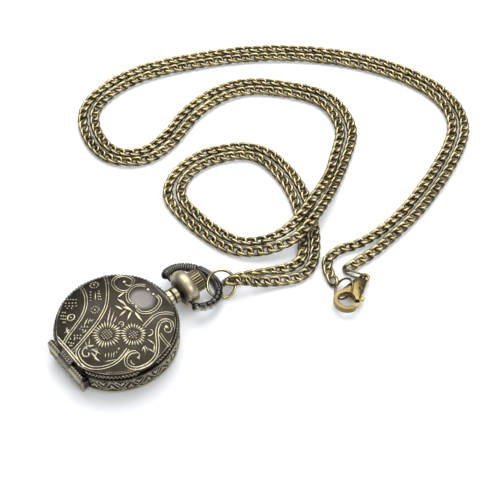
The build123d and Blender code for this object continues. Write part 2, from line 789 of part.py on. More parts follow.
# Button cell: a stepped steel can
battery_top = plate_bottom - battery_top_gap
battery_bottom = battery_top - battery_height
with BuildPart() as button_cell:
    with BuildSketch(Plane.XY.offset(battery_bottom)):
        with Locations((battery_x, battery_y)):
            Circle(battery_radius - battery_step)
    extrude(amount=battery_step)
    with BuildSketch(Plane.XY.offset(battery_bottom + battery_step)):
        with Locations((battery_x, battery_y)):
            Circle(battery_radius)
    extrude(amount=battery_height - battery_step)
button_cell.part.label = "button_cell"
export_step(button_cell.part, "parts/button_cell.step")

# Cell clip: a bent strip across the cell, with both legs up to the main plate
clip_plane = Plane(origin=(battery_x, battery_y, battery_bottom), x_dir=(1, -1, 0), z_dir=(0, 0, 1))
with BuildPart() as cell_clip:
    with BuildSketch(clip_plane.offset(-clip_thickness)):
        Rectangle(2 * (clip_reach + clip_thickness), clip_width)
    extrude(amount=clip_thickness)
    with BuildSketch(clip_plane):
        with GridLocations(2 * clip_reach + clip_thickness, 1, 2, 1):
            Rectangle(clip_thickness, clip_width)
    extrude(amount=plate_bottom - battery_bottom)
cell_clip.part.label = "cell_clip"
export_step(cell_clip.part, "parts/cell_clip.step")

# Stator: a soft iron plate with the rotor's hole and two legs under the coil core
stator_top = stator_level + stator_thickness
stator_back = core_y - core_width / 2
with BuildPart() as stator:
    with BuildSketch(Plane.XY.offset(stator_level)):
        with BuildLine():
            Polyline((1.0, -1.4), (5.9, -1.4), (core_right, -2.4), (core_right, stator_back),
                     (core_right - 0.9, stator_back), (core_right - 0.9, -4.4), (core_left + 0.9, -4.4),
                     (core_left + 0.9, stator_back), (core_left, stator_back), (core_left, -3.4), (1.0, -1.9),
                     close=True)
        make_face()
        with Locations(rotor_point):
            Circle(stator_hole, mode=Mode.SUBTRACT)
    extrude(amount=stator_thickness)
stator.part.label = "stator"
export_step(stator.part, "parts/stator.step")

# Coil core: a flat bar on the stator's legs
with BuildPart() as coil_core:
    with BuildSketch(Plane.XY.offset(stator_top)):
        with Locations(((core_left + core_right) / 2, core_y)):
            Rectangle(core_right - core_left, core_width)
    extrude(amount=core_thickness)
coil_core.part.label = "coil_core"
export_step(coil_core.part, "parts/coil_core.step")

# Coil: the winding round the core
coil_middle = stator_top + core_thickness / 2
with BuildPart() as coil:
    with BuildSketch(Plane.YZ.offset(coil_left)):
        with Locations((core_y, coil_middle)):
            Circle(coil_radius)
            Rectangle(core_width, core_thickness, mode=Mode.SUBTRACT)
    extrude(amount=coil_right - coil_left)
coil.part.label = "coil"
export_step(coil.part, "parts/coil.step")

# Circuit board, its chip and the quartz can, under the main plate
board_bottom = plate_bottom - board_thickness
with BuildPart() as circuit_board:
    with BuildSketch(Plane.XY.offset(board_bottom)):
        with BuildLine():
            Polyline((board_left, board_low), (board_right, board_low), (board_right, board_high - board_corner),
                     (board_right - board_corner, board_high), (board_left, board_high), close=True)
        make_face()
    extrude(amount=board_thickness)
circuit_board.part.label = "circuit_board"
export_step(circuit_board.part, "parts/circuit_board.step")

with BuildPart() as control_chip:
    with BuildSketch(Plane.XY.offset(board_bottom - chip_height)):
        with Locations((chip_x, chip_y)):
            Rectangle(chip_size, chip_size)
    extrude(amount=chip_height)
control_chip.part.label = "control_chip"
export_step(control_chip.part, "parts/control_chip.step")

with BuildPart() as quartz_can:
    with BuildSketch(Plane(origin=(can_x, can_y, board_bottom - can_radius), x_dir=(1, 0, 0), z_dir=(0, 1, 0))):
        Circle(can_radius)
    extrude(amount=can_length)
quartz_can.part.label = "quartz_can"
export_step(quartz_can.part, "parts/quartz_can.step")

# Lid: a pressed dome with a skirt over the bezel, cut to a chord at the hinge and closed there by a flat wall
with BuildPart() as lid_hollow:
    with BuildSketch(Plane.XZ):
        with BuildLine():
            hollow_line = dome_arc(lid_inner, lid_shoulder - lid_wall, lid_top - lid_shoulder)
            Polyline(hollow_line @ 1, (0, lid_bottom), (lid_inner, lid_bottom), hollow_line @ 0)
        make_face()
    revolve(axis=Axis.Z)
    with BuildSketch(Plane.XY.offset(lid_bottom)):
        with Locations((0, -lid_chord + lid_chord_wall - 1)):
            Rectangle(2 * lid_radius, 2)
    extrude(amount=lid_top - lid_bottom, mode=Mode.SUBTRACT)

with BuildPart() as lid:
    with BuildSketch(Plane.XZ):
        with BuildLine():
            dome_edge = lid_radius - lid_bevel
            lid_line = dome_arc(dome_edge, lid_shoulder, lid_top - lid_shoulder)
            Polyline(lid_line @ 1, (0, lid_bottom), (lid_radius, lid_bottom), (lid_radius, lid_shoulder - lid_bevel),
                     lid_line @ 0)
        make_face()
    revolve(axis=Axis.Z)
    with BuildSketch(Plane.XY.offset(lid_bottom)):
        with Locations((0, -lid_chord - 1)):
            Rectangle(2 * lid_radius, 2)
    extrude(amount=lid_top - lid_bottom, mode=Mode.SUBTRACT)
    add(lid_hollow.part, mode=Mode.SUBTRACT)
    # The middle knuckle and the strap that holds it to the chord wall
    with BuildSketch(Plane.YZ.offset(-middle_knuckle / 2)):
        with Locations((hinge_y, hinge_z)):
            Circle(knuckle_radius)
        with BuildLine():
            strap_face = hinge_y + knuckle_radius
            strap_back = strap_face + lid_chord_wall / 2
            Polyline((hinge_y, hinge_z), (strap_face, hinge_z), (strap_face, lid_bottom), (strap_back, lid_bottom),
                     (strap_back, strap_top), (strap_face - 0.2, strap_top), (hinge_y - 0.45, hinge_z + 0.55),
                     close=True)
        make_face()
    extrude(amount=middle_knuckle)
    with BuildSketch(Plane.YZ.offset(-middle_knuckle / 2)):
        with Locations((hinge_y, hinge_z)):
            Circle(pin_radius + running_gap)
    extrude(amount=middle_knuckle, mode=Mode.SUBTRACT)
    # The thumbnail slit under the edge by three o'clock
    slit_x = lid_radius * cos(radians(slit_turn))
    slit_y = lid_radius * sin(radians(slit_turn))
    with BuildSketch(Plane(origin=(slit_x, slit_y, lid_bottom), x_dir=(slit_x, slit_y, 0), z_dir=(0, 0, 1))):
        Rectangle(2 * slit_depth, slit_width)
    extrude(amount=slit_height, mode=Mode.SUBTRACT)
lid.part.label = "lid"
export_step(lid.part, "parts/lid.step")

# Hinge pin: pressed in the case's knuckles, free in the lid's
with BuildPart() as hinge_pin:
    with BuildSketch(Plane.YZ.offset(-barrel_length / 2 + 0.2)):
        with Locations((hinge_y, hinge_z)):
            Circle(pin_radius)
    extrude(amount=barrel_length - 0.4)
hinge_pin.part.label = "hinge_pin"
export_step(hinge_pin.part, "parts/hinge_pin.step")

# Neck tube: pressed through the case wall, it guides the stem
with BuildPart() as neck_tube:
    with BuildSketch(neck_plane(tube_start)):
        Circle(tube_radius)
        Circle(tube_bore, mode=Mode.SUBTRACT)
    extrude(amount=tube_end - tube_start)
neck_tube.part.label = "neck_tube"
export_step(neck_tube.part, "parts/neck_tube.step")

# Neck collar: a turned piece with two steps between the case and the bell
with BuildPart() as neck_collar:
    with BuildSketch(neck_profile):
        with BuildLine():
            Polyline((neck_flat, tube_radius), (neck_flat, collar_radius), (collar_step, collar_radius),
                     (collar_step, groove_radius), (collar_step + groove_width, groove_radius),
                     (collar_step + groove_width, upper_collar_radius), (bell_start, upper_collar_radius),
                     (bell_start, tube_radius), close=True)
        make_face()
    revolve(axis=neck_axis)
    fillet(neck_collar.edges().filter_by(GeomType.CIRCLE).filter_by(
        lambda edge: edge.radius > groove_radius + 0.1), radius=0.25)
neck_collar.part.label = "neck_collar"
export_step(neck_collar.part, "parts/neck_collar.step")

# Pendant bell: the wide disc below the crown, with the two pivot holes for the bow
with BuildPart() as pendant_bell:
    with BuildSketch(neck_profile):
        with BuildLine():
            Polyline((bell_start, tube_radius), (bell_start, bell_foot), (bell_start + 0.5, bell_radius - 1.3),
                     (bell_start + 0.9, bell_radius - 0.45))
            bell_rim = ThreePointArc((bell_start + 0.9, bell_radius - 0.45), (bell_start + 2.1, bell_radius),
                                     (bell_end - 0.2, bell_radius - 0.35))
            Polyline(bell_rim @ 1, (bell_end, bell_radius - 0.7), (bell_end, tube_radius), (bell_start, tube_radius))
        make_face()
    revolve(axis=neck_axis)
    for side in (-1, 1):
        with BuildSketch(Plane(origin=(side * (pivot_reach - 0.1), pivot_y, axis_z), z_dir=(side, 0, 0))):
            Circle(pivot_radius + pivot_clearance)
        extrude(amount=bell_radius, mode=Mode.SUBTRACT)
pendant_bell.part.label = "pendant_bell"
export_step(pendant_bell.part, "parts/pendant_bell.step")

# Stem: round through the neck, square where it slides in the clutch wheel
with BuildPart() as stem:
    with BuildSketch(neck_plane(square_start)):
        Rectangle(stem_square, stem_square)
    extrude(amount=square_end - square_start)
    with BuildSketch(neck_plane(square_end)):
        Circle(stem_radius)
    extrude(amount=crown_end - square_end)
stem.part.label = "stem"
export_step(stem.part, "parts/stem.step")

# Clutch wheel: turns with the stem and lets it slide through
with BuildPart() as clutch_wheel:
    with BuildSketch(neck_plane(clutch_start)):
        Circle(clutch_radius - clutch_tooth / 2)
        with PolarLocations(clutch_radius - clutch_tooth / 2, clutch_teeth):
            Rectangle(clutch_tooth, clutch_tooth)
        Rectangle(stem_square + 2 * square_clearance, stem_square + 2 * square_clearance, mode=Mode.SUBTRACT)
    extrude(amount=clutch_length)
clutch_wheel.part.label = "clutch_wheel"
export_step(clutch_wheel.part, "parts/clutch_wheel.step")

# Crown: a fluted ring on the stem
with BuildPart() as crown:
    with BuildSketch(neck_plane(crown_start)):
        Circle(crown_radius)
        with PolarLocations(crown_radius, flute_count):
            Circle(flute_radius, mode=Mode.SUBTRACT)
        Circle(stem_radius, mode=Mode.SUBTRACT)
    extrude(amount=crown_length)
crown.part.label = "crown"
export_step(crown.part, "parts/crown.step")

# Crown cap: the smooth dome on the crown's end
with BuildPart() as crown_cap:
    with BuildSketch(neck_profile):
        with BuildLine():
            Polyline((crown_end, 0), (crown_end, cap_radius), (crown_end + 0.3, cap_radius))
            ThreePointArc((crown_end + 0.3, cap_radius), (crown_end + cap_length * 0.7, cap_radius * 0.72),
                          (crown_end + cap_length, cap_tip))
            Polyline((crown_end + cap_length, cap_tip), (crown_end + cap_length, 0), (crown_end, 0))
        make_face()
    revolve(axis=neck_axis)
crown_cap.part.label = "crown_cap"
export_step(crown_cap.part, "parts/crown_cap.step")

# Bow: beaded arms from two ball ends, joined by a smooth grooved band
bow_plane = Plane(origin=(0, pivot_y, axis_z), x_dir=(1, 0, 0),
                  z_dir=(0, sin(radians(bow_droop)), cos(radians(bow_droop))))
bow_end_angle = 90 + degrees(asin(bow_centre / bow_radius))
bow_pin_x = bow_radius * sin(radians(bow_end_angle))


def bow_point(angle):
    """A point of the bow's centreline, this many degrees from the top of the arch."""
    local = Vector(bow_radius * sin(radians(angle)), bow_centre + bow_radius * cos(radians(angle)), 0)
    return bow_plane.from_local_coords(local)


bow_axis = Axis(bow_plane.from_local_coords(Vector(0, bow_centre, 0)), bow_plane.z_dir)


def bow_section(angle):
    """A plane across the bow's wire at this angle: x outwards, y across the arch."""
    outwards = bow_plane.x_dir * sin(radians(angle)) + bow_plane.y_dir * cos(radians(angle))
    return Plane(origin=bow_point(angle), x_dir=outwards, z_dir=outwards.cross(bow_plane.z_dir))


with BuildPart() as bow:
    with BuildSketch(bow_section(bow_end_angle)):
        Circle(bow_wire)
    revolve(axis=bow_axis, revolution_arc=2 * bow_end_angle)
    with Locations(bow_section(bow_end_angle), bow_section(-bow_end_angle)):
        Sphere(bow_end_radius)
    bead_angles = [band_half_angle + bow_bead_step * (step + 0.5) for step in range(bow_bead_count)]
    with Locations(*[bow_section(side * angle) for side in (-1, 1) for angle in bead_angles]):
        Sphere(bow_bead)
    with BuildSketch(bow_section(band_half_angle)):
        RectangleRounded(band_depth, band_width, band_corner)
    revolve(axis=bow_axis, revolution_arc=2 * band_half_angle)
    with BuildSketch(bow_section(band_half_angle + band_groove_over)):
        with Locations((-band_depth / 2, 0), (band_depth / 2, 0)):
            Circle(band_groove)
    revolve(axis=bow_axis, revolution_arc=2 * (band_half_angle + band_groove_over), mode=Mode.SUBTRACT)
    for side in (-1, 1):
        with BuildSketch(Plane(origin=(side * (bow_pin_x - bow_end_radius - 0.2), pivot_y, axis_z),
                               z_dir=(side, 0, 0))):
            Circle(pivot_radius)
        extrude(amount=bow_end_radius + 0.2, mode=Mode.SUBTRACT)
bow.part.label = "bow"
export_step(bow.part, "parts/bow.step")

# Bow pins: one in each ball end, reaching into the bell
with BuildPart() as bow_pins:
    for side in (-1, 1):
        with BuildSketch(Plane(origin=(side * pivot_reach, pivot_y, axis_z), z_dir=(side, 0, 0))):
            Circle(pivot_radius)
        extrude(amount=bow_pin_x - pivot_reach)
bow_pins.part.label = "bow_pins"
export_step(bow_pins.part, "parts/bow_pins.step")

# Jump ring: a round wire ring threaded on the bow
with BuildPart(Plane(origin=ring_centre, z_dir=ring_normal)) as jump_ring:
    Torus(ring_radius, ring_wire)
jump_ring.part.label = "jump_ring"
export_step(jump_ring.part, "parts/jump_ring.step")


def tube_radii(points):
    """The bend radius at each inner point of a route: nearly half of the shorter run on each side."""
    radii = []
    for before, here, after in zip(points, points[1:], points[2:]):
        first = Vector(here) - Vector(before)
        second = Vector(after) - Vector(here)
        half_turn = radians(first.get_angle(second)) / 2
        radii.append(0.45 * min(first.length, second.length) / tan(half_turn))
    print("bend radii", [round(radius, 1) for radius in radii])
    return radii


def floor_points(points):
    """Route points that lie on the table."""
    return [Vector(x, y, floor_z) for x, y in points]


lead_end_a = (Vector(near_leg) + Vector(near_turn)) / 2
lead_end_b = (Vector(far_leg) + Vector(far_turn)) / 2
lead_route = [lead_end_b, Vector(far_leg), Vector(fold_under), Vector(fold_over), Vector(fold_lift),
              Vector(near_leg), lead_end_a]
route_a = [lead_end_a, Vector(near_turn), *floor_points(strand_a_floor),
           *[Vector(point) for point in strand_a_over], *floor_points(strand_a_end)]
route_b = [lead_end_b, Vector(far_turn), *floor_points(strand_b_floor),
           *[Vector(point) for point in strand_b_over], *floor_points(strand_b_end)]

# Chain, first part: the fold through the jump ring and both legs beyond it
with BuildPart() as chain_lead:
    with BuildLine() as lead_line:
        FilletPolyline(*lead_route, radius=tube_radii(lead_route))
    with BuildSketch(Plane(origin=lead_line.line @ 0, z_dir=lead_line.line % 0)):
        Circle(chain_radius)
    sweep(path=lead_line.line)
chain_lead.part.label = "chain_lead"
export_step(chain_lead.part, "parts/chain_lead.step")

# Chain, near strand: round the loop and over the first pass, to the end ring
with BuildPart() as chain_strand_a:
    with BuildLine() as line_a:
        FilletPolyline(*route_a, radius=tube_radii(route_a))
    with BuildSketch(Plane(origin=line_a.line @ 0, z_dir=line_a.line % 0)):
        Circle(chain_radius)
    sweep(path=line_a.line)
chain_strand_a.part.label = "chain_strand_a"
export_step(chain_strand_a.part, "parts/chain_strand_a.step")

# Chain, far strand: beside the near one, to the clasp's link
with BuildPart() as chain_strand_b:
    with BuildLine() as line_b:
        FilletPolyline(*route_b, radius=tube_radii(route_b))
    with BuildSketch(Plane(origin=line_b.line @ 0, z_dir=line_b.line % 0)):
        Circle(chain_radius)
    sweep(path=line_b.line)
chain_strand_b.part.label = "chain_strand_b"
export_step(chain_strand_b.part, "parts/chain_strand_b.step")
for line, strand in ((lead_line, chain_lead), (line_a, chain_strand_a), (line_b, chain_strand_b)):
    length = sum(edge.length for edge in line.edges())
    section_volume = pi * chain_radius * chain_radius * length
    print("chain length", round(length, 1), "volume", round(strand.part.volume / section_volume, 3))

# End ring: a thin round ring through the clasp's claw
with BuildPart(Plane(origin=end_ring_centre, z_dir=end_ring_normal)) as end_ring:
    Torus(end_ring_radius, end_ring_wire)
end_ring.part.label = "end_ring"
export_step(end_ring.part, "parts/end_ring.step")

# The clasp's own plane: its x runs from the claw's middle to the eye, tipped down to the table
turn = radians(clasp_turn)
tilt = radians(clasp_tilt)
clasp_plane = Plane(origin=clasp_centre, x_dir=(cos(turn) * cos(tilt), sin(turn) * cos(tilt), -sin(tilt)),
                    z_dir=(cos(turn) * sin(tilt), sin(turn) * sin(tilt), cos(tilt)))
half_thickness = clasp_thickness / 2
mouth_low = mouth_middle - mouth_half_angle
mouth_high = mouth_middle + mouth_half_angle
lever_pivot = Vector(lever_pivot_x, lever_pivot_y)
claw_tip = Vector(*polar_point(claw_hole, mouth_low))
tip_reach = claw_tip - lever_pivot
claw_end = claw_tip + Vector(-tip_reach.Y, tip_reach.X).normalized() * claw_radius

# Clasp body: an open claw, a swelling neck with a slot for the lever, and an eye
with BuildPart() as clasp_body:
    with BuildSketch(clasp_plane.offset(-half_thickness)):
        Circle(claw_radius)
        with BuildLine():
            Polyline((body_start, body_half_width), (body_length, body_end_half_width),
                     (body_length, -body_end_half_width), (body_start, -body_half_width), close=True)
        make_face()
        Circle(claw_hole, mode=Mode.SUBTRACT)
        with BuildLine():
            Polyline((0, 0), claw_tip, claw_end, polar_point(2 * claw_radius, mouth_high), close=True)
        make_face(mode=Mode.SUBTRACT)
    extrude(amount=clasp_thickness)
    with BuildSketch(clasp_plane.offset(-eye_thickness / 2)):
        with Locations((eye_x, 0)):
            Circle(eye_radius)
        with Locations(((body_length + eye_x) / 2, 0)):
            Rectangle(eye_x - body_length, 2 * eye_radius)
        with Locations((eye_x, 0)):
            Circle(eye_hole, mode=Mode.SUBTRACT)
    extrude(amount=eye_thickness)
    with BuildSketch(clasp_plane.offset(-slot_height / 2)):
        with Locations(((slot_start + slot_end) / 2, (slot_top - claw_radius) / 2)):
            Rectangle(slot_end - slot_start, claw_radius + slot_top)
    extrude(amount=slot_height, mode=Mode.SUBTRACT)
    with BuildSketch(clasp_plane.offset(-half_thickness)):
        with Locations((lever_pivot_x, lever_pivot_y)):
            Circle(lever_pin_radius)
    extrude(amount=clasp_thickness, mode=Mode.SUBTRACT)
clasp_body.part.label = "clasp_body"
export_step(clasp_body.part, "parts/clasp_body.step")

# Clasp lever: the gate that closes the claw's mouth, with a thumb tab
gate_middle = (claw_radius + claw_hole) / 2
gate_gap = degrees(lever_gap / gate_middle)
with BuildPart() as clasp_lever:
    with BuildSketch(clasp_plane.offset(-slot_height / 2 + lever_gap / 2)):
        with Locations((lever_pivot_x, lever_pivot_y)):
            Circle(2 * lever_half_width)
        with BuildLine():
            Polyline(polar_point(gate_middle - lever_half_width, mouth_low + gate_gap),
                     polar_point(gate_middle - lever_half_width, mouth_middle),
                     polar_point(gate_middle - lever_half_width, mouth_high + 4 * gate_gap),
                     (lever_pivot_x, lever_pivot_y + lever_half_width),
                     (lever_pivot_x + lever_half_width, lever_pivot_y - lever_half_width),
                     (tab_x + tab_width / 2, -body_half_width + 0.2),
                     (tab_x + tab_width / 2, -tab_reach), (tab_x - tab_width / 2, -tab_reach),
                     (tab_x - tab_width / 2 - 0.2, -body_half_width - 0.2),
                     polar_point(gate_middle + lever_half_width, mouth_middle + 8),
                     polar_point(gate_middle + lever_half_width, mouth_low + gate_gap), close=True)
        make_face()
        with Locations((lever_pivot_x, lever_pivot_y)):
            Circle(tip_reach.length - lever_gap, mode=Mode.INTERSECT)
            Circle(lever_pin_radius + lever_clearance, mode=Mode.SUBTRACT)
    extrude(amount=lever_thickness)
clasp_lever.part.label = "clasp_lever"
export_step(clasp_lever.part, "parts/clasp_lever.step")

# Clasp pin: through the neck and the lever
with BuildPart() as clasp_pin:
    with BuildSketch(clasp_plane.offset(-half_thickness)):
        with Locations((lever_pivot_x, lever_pivot_y)):
            Circle(lever_pin_radius)
    extrude(amount=clasp_thickness)
clasp_pin.part.label = "clasp_pin"
export_step(clasp_pin.part, "parts/clasp_pin.step")

# Clasp spring: a tiny coil round the pin, above the lever
spring_plane = Plane(origin=clasp_plane.from_local_coords(Vector(lever_pivot_x, lever_pivot_y, slot_height / 2
                     - spring_height - spring_wire - 0.02)), x_dir=clasp_plane.x_dir, z_dir=clasp_plane.z_dir)
with BuildPart() as clasp_spring:
    with BuildLine(spring_plane) as spring_line:
        Helix(spring_pitch, spring_height, spring_radius)
    with BuildSketch(Plane(origin=spring_line.line @ 0, z_dir=spring_line.line % 0)):
        Circle(spring_wire)
    sweep(path=spring_line.line, is_frenet=True)
clasp_spring.part.label = "clasp_spring"
export_step(clasp_spring.part, "parts/clasp_spring.step")

# Clasp link: a long upright link from the eye to the far strand's end
eye_point = clasp_plane.from_local_coords(Vector(eye_x, 0, 0))
link_end = Vector(link_far[0], link_far[1], eye_point.Z)
link_length = (link_end - eye_point).length
link_plane = Plane(origin=(eye_point + link_end) / 2, x_dir=link_end - eye_point,
                   z_dir=(link_end - eye_point).cross(Vector(0, 0, 1)))
link_straight = link_length / 2 - link_half_height
with BuildPart() as clasp_link:
    with BuildLine(link_plane) as link_line:
        Line((-link_straight, link_half_height), (link_straight, link_half_height))
        ThreePointArc((link_straight, link_half_height), (link_length / 2, 0), (link_straight, -link_half_height))
        Line((link_straight, -link_half_height), (-link_straight, -link_half_height))
        ThreePointArc((-link_straight, -link_half_height), (-link_length / 2, 0),
                      (-link_straight, link_half_height))
    with BuildSketch(Plane(origin=link_plane.from_local_coords(Vector(0, link_half_height, 0)),
                           z_dir=link_plane.x_dir)):
        Circle(link_wire)
    sweep(path=link_line.wires()[0])
clasp_link.part.label = "clasp_link"
export_step(clasp_link.part, "parts/clasp_link.step")
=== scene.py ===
import bpy
from math import cos, pi, radians, sin, sqrt
from mathutils import Matrix, Vector


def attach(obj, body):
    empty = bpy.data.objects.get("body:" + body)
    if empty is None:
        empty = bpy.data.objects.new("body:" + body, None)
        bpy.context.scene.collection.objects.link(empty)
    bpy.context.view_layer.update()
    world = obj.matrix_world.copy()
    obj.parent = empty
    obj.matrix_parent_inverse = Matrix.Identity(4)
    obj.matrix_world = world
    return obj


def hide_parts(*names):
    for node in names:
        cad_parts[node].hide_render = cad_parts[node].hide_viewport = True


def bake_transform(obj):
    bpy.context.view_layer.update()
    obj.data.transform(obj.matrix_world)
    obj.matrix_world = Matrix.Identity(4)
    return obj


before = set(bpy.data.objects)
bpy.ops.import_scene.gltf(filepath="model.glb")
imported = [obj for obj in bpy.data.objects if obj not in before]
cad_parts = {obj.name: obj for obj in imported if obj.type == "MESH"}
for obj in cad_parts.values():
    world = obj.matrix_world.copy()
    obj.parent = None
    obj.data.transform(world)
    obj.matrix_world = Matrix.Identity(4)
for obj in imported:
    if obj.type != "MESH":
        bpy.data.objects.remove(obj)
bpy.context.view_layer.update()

# Camera: a long lens, looking down at the watch from its lower right. The watch lies in the lower left of
# the frame and the chain fills the rest of it. The place and turn are a fit to the picture, rounded.
bpy.ops.object.camera_add(location=(0.1342, -0.0716, 0.2325),
                          rotation=(radians(36.96), radians(0.06), radians(50.94)))
camera = bpy.context.object
camera.data.lens = 90.5
camera.data.sensor_width = 36
camera.data.clip_start = 0.005
bpy.context.scene.camera = camera
bpy.context.scene.view_settings.view_transform = "Standard"

# Table: one pale matt sheet that runs far past the frame and keeps the soft shadows. It gives off a little
# light of its own, so that it shows white.
bpy.ops.mesh.primitive_plane_add(size=3)
table = bpy.context.object
table.name = "table"
white = bpy.data.materials.new("white_table")
white.use_nodes = True
sheet = white.node_tree.nodes["Principled BSDF"]
sheet.inputs["Base Color"].default_value = (0.88, 0.89, 0.91, 1)
sheet.inputs["Roughness"].default_value = 0.9
sheet.inputs["Specular IOR Level"].default_value = 0.1
sheet.inputs["Emission Color"].default_value = (0.95, 0.97, 1.0, 1)
sheet.inputs["Emission Strength"].default_value = 0.14
table.data.materials.append(white)

# Studio light: a wide soft box above and to the left, a weaker one on the right, and a room that is pale
# overhead and darkens towards the horizon, so that the metal has something to show.
bpy.ops.object.light_add(type="AREA", location=(-0.35, 0.25, 0.75), rotation=(radians(-25), radians(-24), 0))
key = bpy.context.object
key.data.size = 0.9
key.data.energy = 7.5
bpy.ops.object.light_add(type="AREA", location=(0.55, 0.1, 0.5), rotation=(radians(-8), radians(50), 0))
side = bpy.context.object
side.data.size = 0.35
side.data.energy = 1.8
world = bpy.data.worlds.new("room")
bpy.context.scene.world = world
world.use_nodes = True
nodes, links = world.node_tree.nodes, world.node_tree.links
where = nodes.new("ShaderNodeTexCoord")
split = nodes.new("ShaderNodeSeparateXYZ")
ramp = nodes.new("ShaderNodeValToRGB")
links.new(where.outputs["Generated"], split.inputs[0])
links.new(split.outputs["Z"], ramp.inputs["Fac"])
ramp.color_ramp.elements[0].position = 0.0
ramp.color_ramp.elements[0].color = (0.04, 0.04, 0.045, 1)
ramp.color_ramp.elements[1].position = 0.95
ramp.color_ramp.elements[1].color = (0.80, 0.82, 0.86, 1)
middle = ramp.color_ramp.elements.new(0.45)
middle.color = (0.13, 0.13, 0.135, 1)
links.new(ramp.outputs["Color"], nodes["Background"].inputs["Color"])
nodes["Background"].inputs["Strength"].default_value = 0.95


# Back cover: a pressed dish of plated brass with a flat foot, snapped into the case from below. All the
# case's metal is plated dark, then rubbed back to pale brass where fingers and cloth reach it.
def calculation(tree, kind, operation):
    """A new node of this kind in the tree, set to this operation."""
    made = tree.nodes.new(kind)
    made.operation = operation
    return made


def patina_group():
    """Stains, scratches and a fine grain, which every metal piece shares."""
    group = bpy.data.node_groups.new("patina", "ShaderNodeTree")
    group.interface.new_socket(name="Scale", in_out="INPUT", socket_type="NodeSocketFloat")
    for name in ("Stain", "Grain", "Scratch"):
        group.interface.new_socket(name=name, in_out="OUTPUT", socket_type="NodeSocketFloat")
    nodes, links = group.nodes, group.links
    entry = nodes.new("NodeGroupInput")
    result = nodes.new("NodeGroupOutput")
    place = nodes.new("ShaderNodeTexCoord")
    size = calculation(group, "ShaderNodeVectorMath", "SCALE")
    links.new(place.outputs["Object"], size.inputs[0])
    links.new(entry.outputs["Scale"], size.inputs["Scale"])
    stain = nodes.new("ShaderNodeTexNoise")
    stain.inputs["Scale"].default_value = 420
    stain.inputs["Detail"].default_value = 5
    stain.inputs["Roughness"].default_value = 0.65
    grain = nodes.new("ShaderNodeTexNoise")
    grain.inputs["Scale"].default_value = 3800
    grain.inputs["Detail"].default_value = 3
    stretch = nodes.new("ShaderNodeMapping")
    stretch.inputs["Scale"].default_value = (1, 9, 3)
    stretch.inputs["Rotation"].default_value = (0, 0, 0.6)
    scratch = nodes.new("ShaderNodeTexNoise")
    scratch.inputs["Scale"].default_value = 700
    scratch.inputs["Detail"].default_value = 4
    links.new(size.outputs[0], stretch.inputs["Vector"])
    links.new(stretch.outputs["Vector"], scratch.inputs["Vector"])
    for texture in (stain, grain):
        links.new(size.outputs[0], texture.inputs["Vector"])
    sharpen = nodes.new("ShaderNodeMapRange")
    sharpen.inputs["From Min"].default_value = 0.35
    sharpen.inputs["From Max"].default_value = 0.65
    links.new(stain.outputs["Fac"], sharpen.inputs["Value"])
    links.new(sharpen.outputs["Result"], result.inputs["Stain"])
    links.new(grain.outputs["Fac"], result.inputs["Grain"])
    links.new(scratch.outputs["Fac"], result.inputs["Scratch"])
    return group


patina = patina_group()


def new_material(name):
    """A new material, its node tree and its shader."""
    made = bpy.data.materials.new(name)
    made.use_nodes = True
    return made, made.node_tree, made.node_tree.nodes["Principled BSDF"]


def patina_in(tree, scale):
    """The shared patina in this tree, at this scale."""
    wear = tree.nodes.new("ShaderNodeGroup")
    wear.node_tree = patina
    wear.inputs["Scale"].default_value = scale
    return wear


def two_tone(tree, by, dark, light, shader):
    """Mix the shader's colour from these two by this output."""
    tone = tree.nodes.new("ShaderNodeMix")
    tone.data_type = "RGBA"
    tone.inputs[6].default_value = (*dark, 1)
    tone.inputs[7].default_value = (*light, 1)
    tree.links.new(by, tone.inputs["Factor"])
    tree.links.new(tone.outputs[2], shader.inputs["Base Color"])


def ranged(tree, by, low, high, shader):
    """Run the shader's roughness from low to high by this output."""
    spread = tree.nodes.new("ShaderNodeMapRange")
    spread.inputs["To Min"].default_value = low
    spread.inputs["To Max"].default_value = high
    tree.links.new(by, spread.inputs["Value"])
    tree.links.new(spread.outputs["Result"], shader.inputs["Roughness"])


def bumped(tree, by, strength, distance, shader):
    """Raise the shader's surface by this output, up to this distance in metres."""
    relief = tree.nodes.new("ShaderNodeBump")
    relief.inputs["Strength"].default_value = strength
    relief.inputs["Distance"].default_value = distance
    tree.links.new(by, relief.inputs["Height"])
    tree.links.new(relief.outputs["Normal"], shader.inputs["Normal"])


